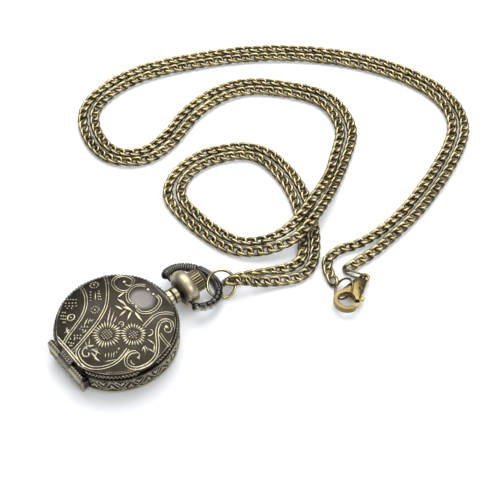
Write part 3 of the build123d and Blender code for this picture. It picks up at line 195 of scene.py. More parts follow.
def aged_metal(name, deep, rubbed, rough, rub=None, stain=0.3, scale=1.0, bump=0.15):
    """Plated metal, dark where the plating is whole and pale where it is rubbed.

    rub is the name of the attribute that says how rubbed a point is, or a list of places. Each place is a
    centre, the axes to measure along and the two distances in mm between which the rubbing grows. Without
    it the stains alone decide."""
    made, tree, shader = new_material(name)
    nodes, links = tree.nodes, tree.links
    wear = patina_in(tree, scale)
    mask = calculation(tree, "ShaderNodeMath", "MULTIPLY_ADD")
    mask.use_clamp = True
    links.new(wear.outputs["Stain"], mask.inputs[0])
    mask.inputs[1].default_value = stain
    mask.inputs[2].default_value = 0.25
    # The rub places and attributes are mostly wear. On the lid they also carry a painted reflection in the
    # bare oval and a painted highlight on one half of the border.
    if rub:
        shift = calculation(tree, "ShaderNodeMath", "SUBTRACT")
        shift.inputs[1].default_value = stain / 2
        links.new(shift.outputs[0], mask.inputs[2])
    if isinstance(rub, str):
        height = nodes.new("ShaderNodeAttribute")
        height.attribute_name = rub
        links.new(height.outputs["Fac"], shift.inputs[0])
    elif rub:
        place = nodes.new("ShaderNodeTexCoord")
        for centre, axes, near, far in rub:
            move = calculation(tree, "ShaderNodeVectorMath", "SUBTRACT")
            move.inputs[1].default_value = Vector(centre) / 1000
            keep = calculation(tree, "ShaderNodeVectorMath", "MULTIPLY")
            keep.inputs[1].default_value = axes
            reach = calculation(tree, "ShaderNodeVectorMath", "LENGTH")
            span = nodes.new("ShaderNodeMapRange")
            span.inputs["From Min"].default_value = near / 1000
            span.inputs["From Max"].default_value = far / 1000
            most = calculation(tree, "ShaderNodeMath", "MAXIMUM")
            most.inputs[1].default_value = 0
            links.new(place.outputs["Object"], move.inputs[0])
            links.new(move.outputs[0], keep.inputs[0])
            links.new(keep.outputs[0], reach.inputs[0])
            links.new(reach.outputs["Value"], span.inputs["Value"])
            links.new(span.outputs["Result"], most.inputs[0])
            if shift.inputs[0].is_linked:
                links.new(shift.inputs[0].links[0].from_socket, most.inputs[1])
            links.new(most.outputs[0], shift.inputs[0])
    two_tone(tree, mask.outputs[0], deep, rubbed, shader)
    gloss = calculation(tree, "ShaderNodeMath", "MULTIPLY_ADD")
    gloss.inputs[1].default_value = 0.3
    gloss.inputs[2].default_value = rough - 0.15
    links.new(wear.outputs["Scratch"], gloss.inputs[0])
    links.new(gloss.outputs[0], shader.inputs["Roughness"])
    bumped(tree, wear.outputs["Grain"], bump, 0.00004, shader)
    shader.inputs["Metallic"].default_value = 1
    return made


def dressed(names, material):
    """Give these carried-over solids this material."""
    for name in names:
        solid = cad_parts[name]
        solid.data.materials.clear()
        solid.data.materials.append(material)


rim_metal = aged_metal("rubbed_rim", (0.14, 0.125, 0.09), (0.44, 0.40, 0.29), 0.34, stain=0.6, scale=0.6)
dressed(["back_cover"], rim_metal)

# Back gasket: a flat ring of black rubber. It lies loose in the case, and the cover's skirt squeezes it
# against the case.
rubber, tree, shader = new_material("black_rubber")
wear = patina_in(tree, 1.5)
two_tone(tree, wear.outputs["Grain"], (0.012, 0.012, 0.013), (0.03, 0.03, 0.03), shader)
ranged(tree, wear.outputs["Stain"], 0.45, 0.75, shader)
dressed(["back_gasket"], rubber)

# Movement: stamped brass plates and wheels, with the steel arbors, screws, cell, clip, can and soft iron
# parts of a small quartz movement. The plates are brushed and the steel is plain. The hinge's pin and the
# clasp's spring are of the same steel.
plate_brass = aged_metal("brushed_brass", (0.50, 0.36, 0.14), (0.78, 0.60, 0.28), 0.30, stain=0.5, scale=1.6)
dressed(["main_plate", "train_bridge", "intermediate_wheel", "seconds_wheel", "third_wheel", "centre_wheel",
         "cannon_pinion", "minute_wheel", "hour_wheel"], plate_brass)
bright_steel = aged_metal("plain_steel", (0.36, 0.36, 0.37), (0.62, 0.62, 0.63), 0.28, stain=0.5, scale=1.6)
dressed(["hinge_pin", "stem", "clutch_wheel", "bridge_screws", "button_cell", "cell_clip", "quartz_can",
         "rotor", "stator", "coil_core", "clasp_spring"], bright_steel)


# Coil, circuit board, chip and holder: enamelled copper wire wound on the core, a green laminate, a black
# moulded chip, and a pale plastic ring that fills the case round the movement.
def plain_solid(name, dark, light, rough, scale=1.0, metallic=0.0, half_turn=None):
    """A moulded or coated material whose colour drifts a little. half_turn is about half the distance in mm
    between the turns of a winding."""
    made, tree, shader = new_material(name)
    wear = patina_in(tree, scale)
    two_tone(tree, wear.outputs["Stain"], dark, light, shader)
    ranged(tree, wear.outputs["Scratch"], rough, rough + 0.12, shader)
    if half_turn:
        place = tree.nodes.new("ShaderNodeTexCoord")
        winding = tree.nodes.new("ShaderNodeTexWave")
        winding.inputs["Scale"].default_value = 1000 / half_turn / 2 / pi
        tree.links.new(place.outputs["Object"], winding.inputs["Vector"])
        bumped(tree, winding.outputs["Fac"], 0.8, 0.00003, shader)
    else:
        bumped(tree, wear.outputs["Grain"], 0.2, 0.00003, shader)
    shader.inputs["Metallic"].default_value = metallic
    return made


dressed(["coil"], plain_solid("wound_copper", (0.55, 0.20, 0.06), (0.80, 0.36, 0.14), 0.25, 2.0, 0.9,
                              half_turn=0.1))
dressed(["circuit_board"], plain_solid("green_laminate", (0.01, 0.12, 0.05), (0.02, 0.20, 0.08), 0.35, 2.0))
dressed(["control_chip"], plain_solid("black_moulding", (0.01, 0.01, 0.011), (0.03, 0.03, 0.032), 0.5, 3.0))
dressed(["movement_holder"], plain_solid("pale_plastic", (0.62, 0.61, 0.57), (0.74, 0.73, 0.70), 0.4, 1.0))

# Mid-case: the turned brass ring that carries everything, with a smooth bright rim below, a roped bead
# above and a band between them. A running vine with fans of leaves is stamped in the band.
rim_below = ((0, 0, 2.2), (0, 0, 1), 0.55, 0.3)
far_along_y = ((0, 0, 0), (0, 1, 0), 12.9, 13.5)
band_metal = aged_metal("dark_band", (0.030, 0.026, 0.019), (0.40, 0.36, 0.25), 0.34,
                        rub=[rim_below, far_along_y], stain=0.45, scale=0.9)
dressed(["mid_case"], band_metal)


def nothing_selected():
    """Leave nothing selected, so that an operator acts on the next primitive only."""
    bpy.ops.object.select_all(action="DESELECT")


def joined(pieces, name, material):
    """Join these pieces into one mesh at the origin, smooth and of one material."""
    nothing_selected()
    for piece in pieces:
        piece.select_set(True)
    bpy.context.view_layer.objects.active = pieces[0]
    if len(pieces) > 1:
        bpy.ops.object.join()
    piece = bpy.context.object
    bpy.ops.object.transform_apply(location=True, rotation=True, scale=True)
    bpy.ops.object.shade_smooth()
    piece.name = name
    piece.data.materials.clear()
    piece.data.materials.append(material)
    return piece


def copied(master, places):
    """A copy of this shape, with a mesh of its own, at each of these places."""
    copies = []
    for place in places:
        copy = master.copy()
        copy.data = master.data.copy()
        copy.matrix_world = place
        bpy.context.collection.objects.link(copy)
        copies.append(copy)
    return copies


def rubbed_by(piece, rule):
    """Write on each point how rubbed it is, by a rule for its place."""
    layer = piece.data.attributes.new("rub", "FLOAT", "POINT")
    for index, vertex in enumerate(piece.data.vertices):
        layer.data[index].value = max(0.0, min(1.0, rule(vertex.co)))


def traced(name, paths, width, material):
    """Raised lines of this width in mm, one along each path of points, joined into one mesh."""
    curve = bpy.data.curves.new(name, "CURVE")
    curve.dimensions = "3D"
    curve.resolution_u = 5
    curve.bevel_depth = width / 2000
    curve.bevel_resolution = 1
    curve.use_fill_caps = True
    for path in paths:
        spline = curve.splines.new("BEZIER")
        spline.bezier_points.add(len(path) - 1)
        for point, at in zip(spline.bezier_points, path):
            point.co = at
            point.handle_left_type = "AUTO"
            point.handle_right_type = "AUTO"
    holder = bpy.data.objects.new(name, curve)
    bpy.context.collection.objects.link(holder)
    nothing_selected()
    holder.select_set(True)
    bpy.context.view_layer.objects.active = holder
    bpy.ops.object.convert(target="MESH")
    return joined([bpy.context.object], name, material)


def picked(piece, rule):
    """Go into edit mode with only the points of this piece selected that the rule picks."""
    bpy.ops.object.mode_set(mode="EDIT")
    bpy.ops.mesh.select_mode(type="VERT")
    bpy.ops.mesh.select_all(action="DESELECT")
    bpy.ops.object.mode_set(mode="OBJECT")
    for vertex in piece.data.vertices:
        vertex.select = rule(vertex.co)
    bpy.ops.object.mode_set(mode="EDIT")


# Every leaf, petal and bead is a copy of this one, 2 long, 2 wide and 1 high about its middle, with a tip
# along +X
nothing_selected()
bpy.ops.mesh.primitive_uv_sphere_add(segments=8, ring_count=6, radius=1, rotation=(0, pi / 2, 0))
leaf = bpy.context.object
bpy.ops.object.transform_apply(rotation=True)
picked(leaf, lambda at: at.x > 0.3)
bpy.ops.transform.resize(value=(1, 0.55, 1))
bpy.ops.object.mode_set(mode="OBJECT")


def standing(at, forward, outward, length, width, height):
    """The place of a leaf at this point in mm that runs forward and stands out by its height."""
    forward = (forward - outward * forward.dot(outward)).normalized()
    across = outward.cross(forward)
    at = Vector(at) / 1000
    columns = (forward * length / 2000, across * width / 2000, outward * height / 1000, at)
    return Matrix((*zip(*columns), (0, 0, 0, 1)))


# Sizes of the band's drawing in mm, and its turns in degrees
band_radius = 13.2
band_middle = 4.25
band_start, band_end, band_waves = -61.0, 241.0, 36
wave = (band_end - band_start) / band_waves
vine_radius, vine_rise, vine_width = 13.26, 1.05, 0.30
bead_radius, bead_height, bead_count = 13.46, 6.28, 118
bead_foot = 6.0

# Each leaf of a wave: its shift along the wave, its rise from the middle, its slant, length and width
wave_leaves = ((0, -0.35, 90, 1.5, 0.55), (1.6, -0.75, 52, 1.5, 0.50), (-1.6, -0.75, 128, 1.5, 0.50),
               (3.4, 1.25, 15, 1.0, 0.55), (-3.2, 1.35, 165, 0.8, 0.45), (0.2, 1.62, 0, 0.8, 0.34))


def on_band(turn, height, radius=band_radius):
    """A point of the band's side in mm, the direction out of it and the direction round it."""
    outward = Vector((cos(radians(turn)), sin(radians(turn)), 0))
    return outward * radius + Vector((0, 0, height)), outward, Vector((-outward.y, outward.x, 0))


def from_axis(at):
    """How far a point of a mesh is from the case's axis, in mm."""
    return 1000 * sqrt(at.x * at.x + at.y * at.y)


leaf_metal = aged_metal("rubbed_leaves", (0.030, 0.026, 0.019), (0.44, 0.40, 0.29), 0.32, rub="rub",
                        stain=0.4)
vine = [on_band(band_start + step * wave / 4, band_middle + vine_rise * sin(pi * step / 4), vine_radius)[0]
        / 1000 for step in range(4 * band_waves + 1)]
band_vine = traced("band_vine", [vine], vine_width, leaf_metal)
rubbed_by(band_vine, lambda at: (from_axis(at) - 13.24) / 0.16)
places = []
for number in range(band_waves):
    turn = band_start + (number + 0.5) * wave
    side_up = -1 if number % 2 else 1
    for shift, rise, slant, length, width in wave_leaves:
        at, outward, round_it = on_band(turn + shift + 0.5 * sin(2.3 * number + shift),
                                        band_middle + side_up * rise)
        slant += 16 * sin(1.9 * number + shift)
        forward = round_it * cos(radians(slant)) - Vector((0, 0, side_up * sin(radians(slant))))
        places.append(standing(at, forward, outward, length * (1 + 0.15 * sin(3.1 * number)), width, 0.36))
for number in range(bead_count):
    turn = band_start + (band_end - band_start) * (number + 0.5) / bead_count
    at, outward, round_it = on_band(turn, bead_height, bead_radius)
    places.append(standing(at, round_it * 0.8 + Vector((0, 0, 0.6)), outward, 0.72, 0.36, 0.2))
band_leaves = joined(copied(leaf, places), "band_leaves", leaf_metal)
rubbed_by(band_leaves, lambda at: (from_axis(at) - (13.27 if at.z * 1000 < bead_foot else 13.50)) / 0.2)

# Hinge block: the flat that the case carries under its hinge, covered with the same small leaves. A row of
# them also lies on the ledge over the flat, at each side of the lid's knuckle.
block_face, block_half, block_pitch = -13.61, 6.0, 0.72
ledge_back, ledge_top, ledge_pitch, knuckle_half = -13.35, 5.2, 0.7, 2.3
places = []
for row, lift in enumerate((2.55, 3.3, 4.05, 4.8)):
    for number in range(17):
        across = -5.8 + block_pitch * number + 0.3 * (row % 2)
        if across > block_half:
            continue
        slant = radians(38 if (number + row) % 2 else 140)
        forward = Vector((cos(slant), 0, sin(slant)))
        places.append(standing((across, block_face, lift), forward, Vector((0, -1, 0)), 0.95, 0.46, 0.18))
for number in range(18):
    across = -5.95 + ledge_pitch * number
    if abs(across) > knuckle_half:
        places.append(standing((across, ledge_back, ledge_top), Vector((0.5, 0.8, 0)), Vector((0, 0, 1)),
                               0.6, 0.34, 0.14))
block_leaves = joined(copied(leaf, places), "block_leaves", leaf_metal)
rubbed_by(block_leaves, lambda at: max((block_face - 0.02 - 1000 * at.y) / 0.12,
                                       (1000 * at.z - ledge_top - 0.02) / 0.1))
for piece in (band_vine, band_leaves, block_leaves):
    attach(piece, "case")

# Dial: a thin enamelled disc with printed black numbers and a minute track. It can be seen through the
# crystal when the lid is open.
enamel = plain_solid("white_enamel", (0.60, 0.59, 0.54), (0.70, 0.69, 0.64), 0.30, 0.6)
dressed(["dial"], enamel)
print_black = plain_solid("printed_black", (0.012, 0.011, 0.010), (0.03, 0.028, 0.026), 0.4, 3.0)
dial_top = 5.45
track_radius, number_radius, number_size = 10.1, 8.4, 2.3


def on_dial(radius, turn):
    """The point just over the dial at this radius in mm and this turn from twelve o'clock, in metres."""
    return radius * sin(turn) / 1000, radius * cos(turn) / 1000, (dial_top + 0.02) / 1000


marks = []
for minute in range(60):
    turn = radians(6 * minute)
    nothing_selected()
    bpy.ops.mesh.primitive_cube_add(size=0.001, location=on_dial(track_radius, turn), rotation=(0, 0, -turn))
    mark = bpy.context.object
    mark.scale = (0.30 if minute % 5 == 0 else 0.13, 0.55, 0.06)
    marks.append(mark)
for hour in range(1, 13):
    nothing_selected()
    bpy.ops.object.text_add(location=on_dial(number_radius, radians(30 * hour)))
    number = bpy.context.object
    number.data.body = str(hour)
    number.data.size = number_size / 1000
    number.data.extrude = 0.00003
    number.data.offset = 0.00004
    number.data.align_x = "CENTER"
    number.data.align_y = "CENTER"
    bpy.ops.object.convert(target="MESH")
    marks.append(bpy.context.object)
dial_print = joined(marks, "dial_print", print_black)
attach(dial_print, "case")

# Hands: stamped from thin sheet and blackened. The hour and minute hands have a round spade near the tip,
# and the seconds hand is of the same metal.
dressed(["hour_hand", "minute_hand", "seconds_hand"],
        aged_metal("blackened_hands", (0.012, 0.012, 0.014), (0.04, 0.038, 0.036), 0.4, stain=0.5, scale=2.0))

# Bezel and crystal: a turned ring snapped into the case, and the low clear dome in its rebate. The dome
# bends light less than a real one, so that the numbers under it can be read at the camera's angle.
dressed(["bezel_ring"], rim_metal)
clear, tree, glass = new_material("clear_crystal")
glass.inputs["Base Color"].default_value = (0.97, 0.98, 0.98, 1)
glass.inputs["Transmission Weight"].default_value = 1
glass.inputs["IOR"].default_value = 1.18
glass.inputs["Specular IOR Level"].default_value = 0.15
ranged(tree, patina_in(tree, 0.8).outputs["Scratch"], 0.0, 0.02, glass)
dressed(["dial_crystal"], clear)

# Lid: pressed brass, domed and plated dark. Its pattern of scrolls, two daisies and sprays stands up from
# the ground and is rubbed pale. Its drawing is the lid as the camera sees it, with its corner in the frame at
# the dots named below and several units to a dot.
relief_metal = aged_metal("rubbed_relief", (0.034, 0.028, 0.020), (0.62, 0.565, 0.40), 0.30, rub="rub",
                          stain=0.6)
dome_centre = Vector((0, 0, -32.06))
dome_radius = 41.96
frame_dots = 500
drawing_left, drawing_top = 45, 270
units_a_dot = 11.2


def on_dome(x, y):
    """The point of the dome over this place, in mm."""
    return Vector((x, y, dome_centre.z + sqrt(dome_radius * dome_radius - x * x - y * y)))


def on_lid(across, down):
    """The point of the dome that shows at this point of the pattern's drawing, in mm."""
    dots = camera.data.lens / camera.data.sensor_width * frame_dots
    right_of_middle = drawing_left + across / units_a_dot - frame_dots / 2
    over_middle = frame_dots / 2 - drawing_top - down / units_a_dot
    aim = Vector((right_of_middle / dots, over_middle / dots, -1)).normalized()
    ray = camera.rotation_euler.to_matrix() @ aim
    start = camera.location * 1000 - dome_centre
    along_ray = -start.dot(ray) - sqrt(start.dot(ray) ** 2 - start.length_squared + dome_radius * dome_radius)
    return camera.location * 1000 + ray * along_ray


# The oval without pattern is bare polished metal. The pale lilac grey put on it is partly that bare metal and
# partly a painted reflection of the light.
polished_oval_and_painted_reflection = (on_lid(1085, 325), (1, 1, 1), 3.1, 2.0)
straight_side = ((0, 0, 0), (0, 1, 0), 12.0, 12.3)
lid_metal = aged_metal("dark_lid", (0.036, 0.030, 0.022), (0.165, 0.148, 0.142), 0.36,
                       rub=[polished_oval_and_painted_reflection, straight_side], stain=0.35, scale=0.35, bump=0.1)
dressed(["lid"], lid_metal)


def drawn(points):
    """A path on the dome through these points of the drawing, in metres."""
    return [on_lid(*point) / 1000 for point in points]


def beside(path, distance):
    """The same path moved sideways over the dome by this distance in mm."""
    moved = []
    for index, at in enumerate(path):
        forward = path[min(index + 1, len(path) - 1)] - path[max(index - 1, 0)]
        sideways = Vector((-forward.y, forward.x, 0)).normalized() * distance
        moved.append(on_dome(1000 * at.x + sideways.x, 1000 * at.y + sideways.y) / 1000)
    return moved


def dome_rub(at):
    """How rubbed a point is: not at all near the dome, and fully from 0.15 mm over it."""
    return ((at * 1000 - dome_centre).length - dome_radius - 0.03) / 0.12


def stood(at, forward, length, width, height):
    """The place of a leaf on the dome at this point in mm."""
    return standing(at, forward, (at - dome_centre).normalized(), length, width, height)


scroll_half, line_width = 0.27, 0.31
arcs = [drawn([(390, 175), (440, 250), (460, 330), (452, 425), (412, 525), (340, 630), (262, 735),
               (203, 835)]),
        drawn([(668, 62), (692, 130), (701, 230), (697, 330), (682, 410), (635, 510), (555, 630), (465, 738),
               (365, 855), (272, 940)])]
scrolls = [drawn([(922, 240), (850, 240), (790, 205), (760, 155), (775, 108), (815, 78), (880, 68),
                  (945, 82), (988, 118), (975, 160)]),
           drawn([(1125, 180), (1060, 170), (990, 190), (940, 235), (922, 290), (935, 345), (962, 372)]),
           drawn([(1250, 285), (1290, 335), (1268, 405), (1210, 458), (1130, 480), (1065, 470),
                  (1035, 440)]),
           drawn([(1105, 640), (1160, 580), (1230, 515), (1310, 487), (1390, 485), (1440, 500)]),
           drawn([(1425, 640), (1415, 590), (1365, 562), (1305, 578), (1266, 640), (1254, 720),
                  (1262, 800), (1262, 880), (1248, 950), (1195, 1022), (1110, 1078), (1010, 1102),
                  (935, 1080), (905, 1030), (918, 970), (965, 925), (1020, 918)]),
           drawn([(1285, 715), (1325, 775), (1395, 855)]),
           drawn([(928, 885), (870, 962), (800, 1030), (700, 1080), (600, 1100), (500, 1090), (425, 1045),
                  (378, 985), (362, 925), (385, 872)])]
fine = []
for path in arcs + scrolls:
    fine += [beside(path, scroll_half), beside(path, -scroll_half)]
fine += [drawn([(978, 165), (935, 180), (898, 160)]),
         drawn([(1425, 645), (1400, 695), (1350, 690), (1335, 650)]),
         drawn([(1020, 918), (1058, 945), (1055, 990)]), drawn([(1000, 1062), (968, 1040), (962, 1012)]),
         drawn([(1040, 430), (1012, 425)]), drawn([(962, 380), (990, 382)]),
         drawn([(1160, 740), (1200, 720), (1205, 680), (1178, 668)]),
         drawn([(825, 615), (840, 585), (872, 588), (880, 618), (858, 635)])]
lid_scrolls = traced("lid_scrolls", fine, line_width, relief_metal)

# The lid's flowers: two daisies with ribbed cores, the sprays of pointed leaves round the bare oval, and
# small flowers, berries and twigs between the arcs. All are pressed out of the lid's own sheet.
places = []
cores = []
daisies = ((on_lid(690, 722), 3.15, 1.35, 26, 0.0), (on_lid(990, 722), 2.75, 1.2, 24, 3.0))
rib_pitch, rib_count = 0.50, 3
for centre, reach, core, petals, start in daisies:
    for number in range(petals):
        turn = radians(start + 360 / petals * number)
        long = reach * (1.0 + 0.06 * sin(5 * turn + 1)) - core - 0.2
        middle = core + 0.2 + long / 2
        at = on_dome(centre.x + middle * cos(turn), centre.y + middle * sin(turn))
        places.append(stood(at, Vector((-cos(turn), -sin(turn), 0)), long * 1.08, 0.46, 0.21))
    for row in range(-rib_count, rib_count + 1):
        for column in range(-rib_count, rib_count + 1):
            x, y = rib_pitch * row, rib_pitch * column
            if x * x + y * y < (core - 0.15) ** 2:
                cores.append(stood(on_dome(centre.x + x, centre.y + y), Vector((1, 1, 0)), 0.46, 0.42,
                                   0.14 + 0.07 * (1 - (x * x + y * y) / core / core)))
daisy_pieces = copied(leaf, places + cores)

# Each leaf of the sprays: its tip, its root and its width in mm
sprays = [
    ((905, 245), (825, 300), 0.42), ((800, 318), (868, 372), 0.40), ((842, 330), (905, 400), 0.36),
    ((778, 400), (860, 440), 0.50), ((835, 520), (905, 455), 0.46), ((925, 560), (965, 470), 0.50),
    ((1092, 580), (1010, 480), 0.62), ((985, 470), (900, 405), 0.46), ((960, 455), (870, 415), 0.36),
    ((735, 432), (702, 580), 0.30), ((775, 470), (735, 590), 0.30), ((805, 525), (765, 600), 0.28),
    ((1150, 780), (1225, 830), 0.40), ((1225, 830), (1222, 920), 0.38), ((1150, 880), (1225, 925), 0.36),
    ((1120, 850), (1150, 905), 0.30), ((1085, 910), (1110, 855), 0.28), ((1125, 950), (1110, 860), 0.28),
    ((450, 800), (470, 860), 0.26), ((500, 770), (495, 850), 0.28), ((545, 850), (480, 870), 0.30),
    ((590, 885), (500, 905), 0.34), ((620, 940), (530, 900), 0.40), ((600, 1020), (520, 930), 0.44),
    ((560, 1000), (585, 900), 0.30), ((430, 860), (480, 890), 0.32), ((545, 985), (610, 1020), 0.36),
    ((680, 935), (675, 980), 0.26), ((715, 925), (710, 985), 0.28), ((745, 925), (740, 985), 0.28),
    ((775, 915), (768, 980), 0.28), ((820, 875), (825, 900), 0.30), ((800, 905), (805, 935), 0.26),
    ((790, 1005), (670, 1032), 0.30), ((275, 665), (215, 715), 0.34), ((235, 655), (265, 720), 0.34),
    ((250, 640), (245, 690), 0.26), ((480, 545), (440, 625), 0.26), ((510, 540), (485, 600), 0.22),
    ((550, 560), (500, 575), 0.22), ((540, 590), (500, 560), 0.20), ((565, 250), (565, 330), 0.30)]
places = []
for tip, root, width in sprays:
    tip, root = on_lid(*tip), on_lid(*root)
    middle = (tip + root) / 2
    places.append(stood(on_dome(middle.x, middle.y), tip - root, 1.25 * (tip - root).length, 1.35 * width,
                        0.22))

# Each berry: its place and its width in mm. Each twig: its first berry, its last and their number
berries = [(888, 135, 0.85), (1155, 220, 0.85), (1215, 272, 0.80), (988, 375, 0.70), (1020, 408, 0.75),
           (1365, 640, 0.95), (1048, 985, 0.70), (500, 940, 0.4), (550, 170, 0.5), (557, 448, 0.5),
           (290, 533, 0.55), (830, 880, 0.42), (858, 612, 0.4)]
twig_berry = 0.46
twigs = [
    ((255, 335), (350, 335), 4), ((235, 375), (345, 372), 4), ((232, 408), (350, 405), 4),
    ((250, 432), (300, 430), 2), ((200, 480), (225, 480), 2), ((185, 515), (232, 520), 3),
    ((180, 550), (225, 555), 3), ((205, 590), (225, 590), 2), ((510, 250), (512, 345), 4),
    ((605, 240), (625, 330), 4), ((595, 265), (600, 330), 3), ((410, 640), (475, 640), 3),
    ((390, 665), (455, 680), 3), ((430, 700), (450, 690), 2), ((330, 735), (400, 735), 3),
    ((335, 760), (390, 770), 3), ((285, 775), (330, 780), 2), ((265, 815), (320, 825), 3),
    ((280, 850), (300, 850), 2)]
for start, end, count in twigs:
    for number in range(count):
        share = number / (count - 1)
        berries.append((start[0] + share * (end[0] - start[0]), start[1] + share * (end[1] - start[1]),
                        twig_berry))
small_petals = 11
for centre, radius in (((552, 172), 0.92), ((560, 448), 0.86)):
    middle = on_lid(*centre)
    for number in range(small_petals):
        turn = 2 * pi * number / small_petals
        at = on_dome(middle.x + radius * cos(turn), middle.y + radius * sin(turn))
        places.append(stood(at, Vector((cos(turn), sin(turn), 0)), 0.56, 0.34, 0.19))
for across, down, width in berries:
    places.append(stood(on_lid(across, down), Vector((1, 0.3, 0)), 1.15 * width, 1.15 * width,
                        0.13 + 0.12 * width))
lid_flowers = joined(daisy_pieces + copied(leaf, places), "lid_flowers", relief_metal)
ring_flower = on_lid(292, 535)
ring_radius, ring_width = 0.78, 0.42
rings = [[on_dome(ring_flower.x + ring_radius * cos(turn), ring_flower.y + ring_radius * sin(turn)) / 1000
          for turn in [2 * pi * step / 10 for step in range(11)]]]
rings.append(drawn([(548, 848), (475, 858), (430, 895), (420, 940), (450, 972), (488, 958), (486, 930)]))
lid_ring = traced("lid_ring", rings, ring_width, relief_metal)

# The lid's border: a raised line just inside the edge and two along the straight side, with a strip of
# short ribs where the thumb goes, and small leaves round the skirt below.
border_radius, border_width = 12.72, 0.22
border = [on_dome(border_radius * cos(radians(turn)), border_radius * sin(radians(turn))) / 1000
          for turn in range(-72, 253, 6)]
lid_border = traced("lid_border", [border], border_width, relief_metal)
edge_lines = ((-12.08, 3.9), (-11.6, 4.9))
lid_edge = traced("lid_edge", [[on_dome(across, away) / 1000 for across in (-reach, 0, reach)]
                               for away, reach in edge_lines], ring_width, relief_metal)
thumb_radius, thumb_start, thumb_step, thumb_ribs = 12.4, -44, 1.4, 26
places = []
for number in range(thumb_ribs):
    turn = radians(thumb_start + thumb_step * number)
    at = on_dome(thumb_radius * cos(turn), thumb_radius * sin(turn))
    places.append(stood(at, Vector((cos(turn), sin(turn), 0)), 0.5, 0.2, 0.12))
lid_ribs = joined(copied(leaf, places), "lid_ribs", relief_metal)
for piece in (lid_scrolls, lid_flowers, lid_ring, lid_edge, lid_ribs):
    rubbed_by(piece, dome_rub)
# The border's rub by height counts only on its half towards +x and -y, the side nearest the camera, where it
# is partly a painted highlight. The other half keeps a low, even rub.
rubbed_by(lid_border, lambda at: 0.7 * dome_rub(at) if at.x > at.y - 0.004 else 0.15)
for piece in (lid_scrolls, lid_flowers, lid_ring, lid_border, lid_edge, lid_ribs):
    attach(piece, "lid")
skirt_radius, skirt_count, skirt_start, skirt_turn = 13.06, 180, -64, 308
thumb_middle, thumb_half = -5, 9
places = []
for number in range(skirt_count):
    turn = skirt_start + skirt_turn / skirt_count * (number + 0.5)
    if abs(turn - thumb_middle) < thumb_half:
        continue
    at, outward, round_it = on_band(turn, 7.0 if number % 2 else 7.5, skirt_radius)
    slant = radians((42 if number % 2 else 138) + 18 * sin(1.7 * number))
    places.append(standing(at, round_it * cos(slant) + Vector((0, 0, sin(slant))), outward, 0.85, 0.42, 0.24))
lid_skirt = joined(copied(leaf, places), "lid_skirt_leaves", leaf_metal)
rubbed_by(lid_skirt, lambda at: (from_axis(at) - 13.10) / 0.16)
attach(lid_skirt, "lid")

# Hinge: a barrel along the straight side of the lid, of two knuckles on the case and one on the lid, which
# a strap joins to the dome. A band of small leaves covers them, as it covers the case.
hinge_y, hinge_z, barrel_radius = -13.05, 6.0, 0.7
hinge_pitch = 0.7
lid_knuckle, case_knuckle = 1.75, 2.4
places = []
lid_places = []
for number in range(17):
    across = -5.6 + hinge_pitch * number
    for lift, slant, length in ((48, 35, 0.85), (84, -50, 0.8)):
        outward = Vector((0, -cos(radians(lift)), sin(radians(lift))))
        at = Vector((across + 0.0035 * lift, hinge_y, hinge_z)) + outward * barrel_radius
        forward = Vector((cos(radians(slant)), 0, 0)) + outward.cross(Vector((1, 0, 0))) * sin(radians(slant))
        if abs(across + 0.2) < lid_knuckle:
            height = 0.09 if lift < 60 else 0.17
            lid_places.append(standing(at, forward, outward, 0.8 * length, 0.38, height))
        elif abs(across + 0.2) > case_knuckle:
            places.append(standing(at, forward, outward, length, 0.42, 0.17))
strap_slope = Vector((0, -0.72, 0.69))
strap_rows = ((-12.75, 7.34), (-13.1, 6.98))
strap_places = []
for number in range(5):
    for away, lift in strap_rows:
        strap_places.append(standing((-1.5 + 0.75 * number, away, lift), Vector((0.8, 0.4, 0)), strap_slope,
                                     0.75, 0.4, 0.16))
strap_leaves = joined(copied(leaf, strap_places), "strap_leaves", leaf_metal)
rubbed_by(strap_leaves, lambda at: (-1000 * at.y - 12.35) / 0.1)
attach(strap_leaves, "lid")
hinge_leaves = joined(copied(leaf, places), "hinge_leaves", leaf_metal)
knuckle_leaves = joined(copied(leaf, lid_places), "knuckle_leaves", leaf_metal)
for piece, body in ((hinge_leaves, "case"), (knuckle_leaves, "lid")):
    rubbed_by(piece, lambda at: (sqrt((1000 * at.y - hinge_y) ** 2 + (1000 * at.z - hinge_z) ** 2) - 0.73)
              / 0.14)
    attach(piece, body)

# Neck, collar and bell: turned brass, pressed into the case wall at twelve o'clock. Their rims are
# polished bright by handling and the rest is dark.
neck_axis = (0, 0, 4.5)
off_neck = (1, 0, 1)
dressed(["neck_tube"], rim_metal)
dressed(["neck_collar"], aged_metal("bright_collar", (0.06, 0.05, 0.036), (0.46, 0.41, 0.27), 0.34,
                                    rub=[(neck_axis, off_neck, 1.72, 2.0)], stain=0.3, scale=0.8))
dressed(["pendant_bell"], aged_metal("satin_bell", (0.045, 0.038, 0.028), (0.52, 0.46, 0.31), 0.44,
                                     rub=[(neck_axis, off_neck, 2.6, 3.6)], stain=0.3, scale=0.5, bump=0.3))

# Crown: a fluted brass ring, dark between its flutes, with a smooth dome on its end. The dome is a cap of
# its own, darker than the rubbed flutes.
dressed(["crown"], aged_metal("fluted_crown", (0.035, 0.028, 0.018), (0.34, 0.28, 0.165), 0.36,
                              rub=[(neck_axis, off_neck, 2.40, 2.54)], stain=0.25))
dressed(["crown_cap"], aged_metal("crown_dome", (0.06, 0.048, 0.028), (0.25, 0.21, 0.125), 0.36, stain=0.6,
                                  scale=0.7))

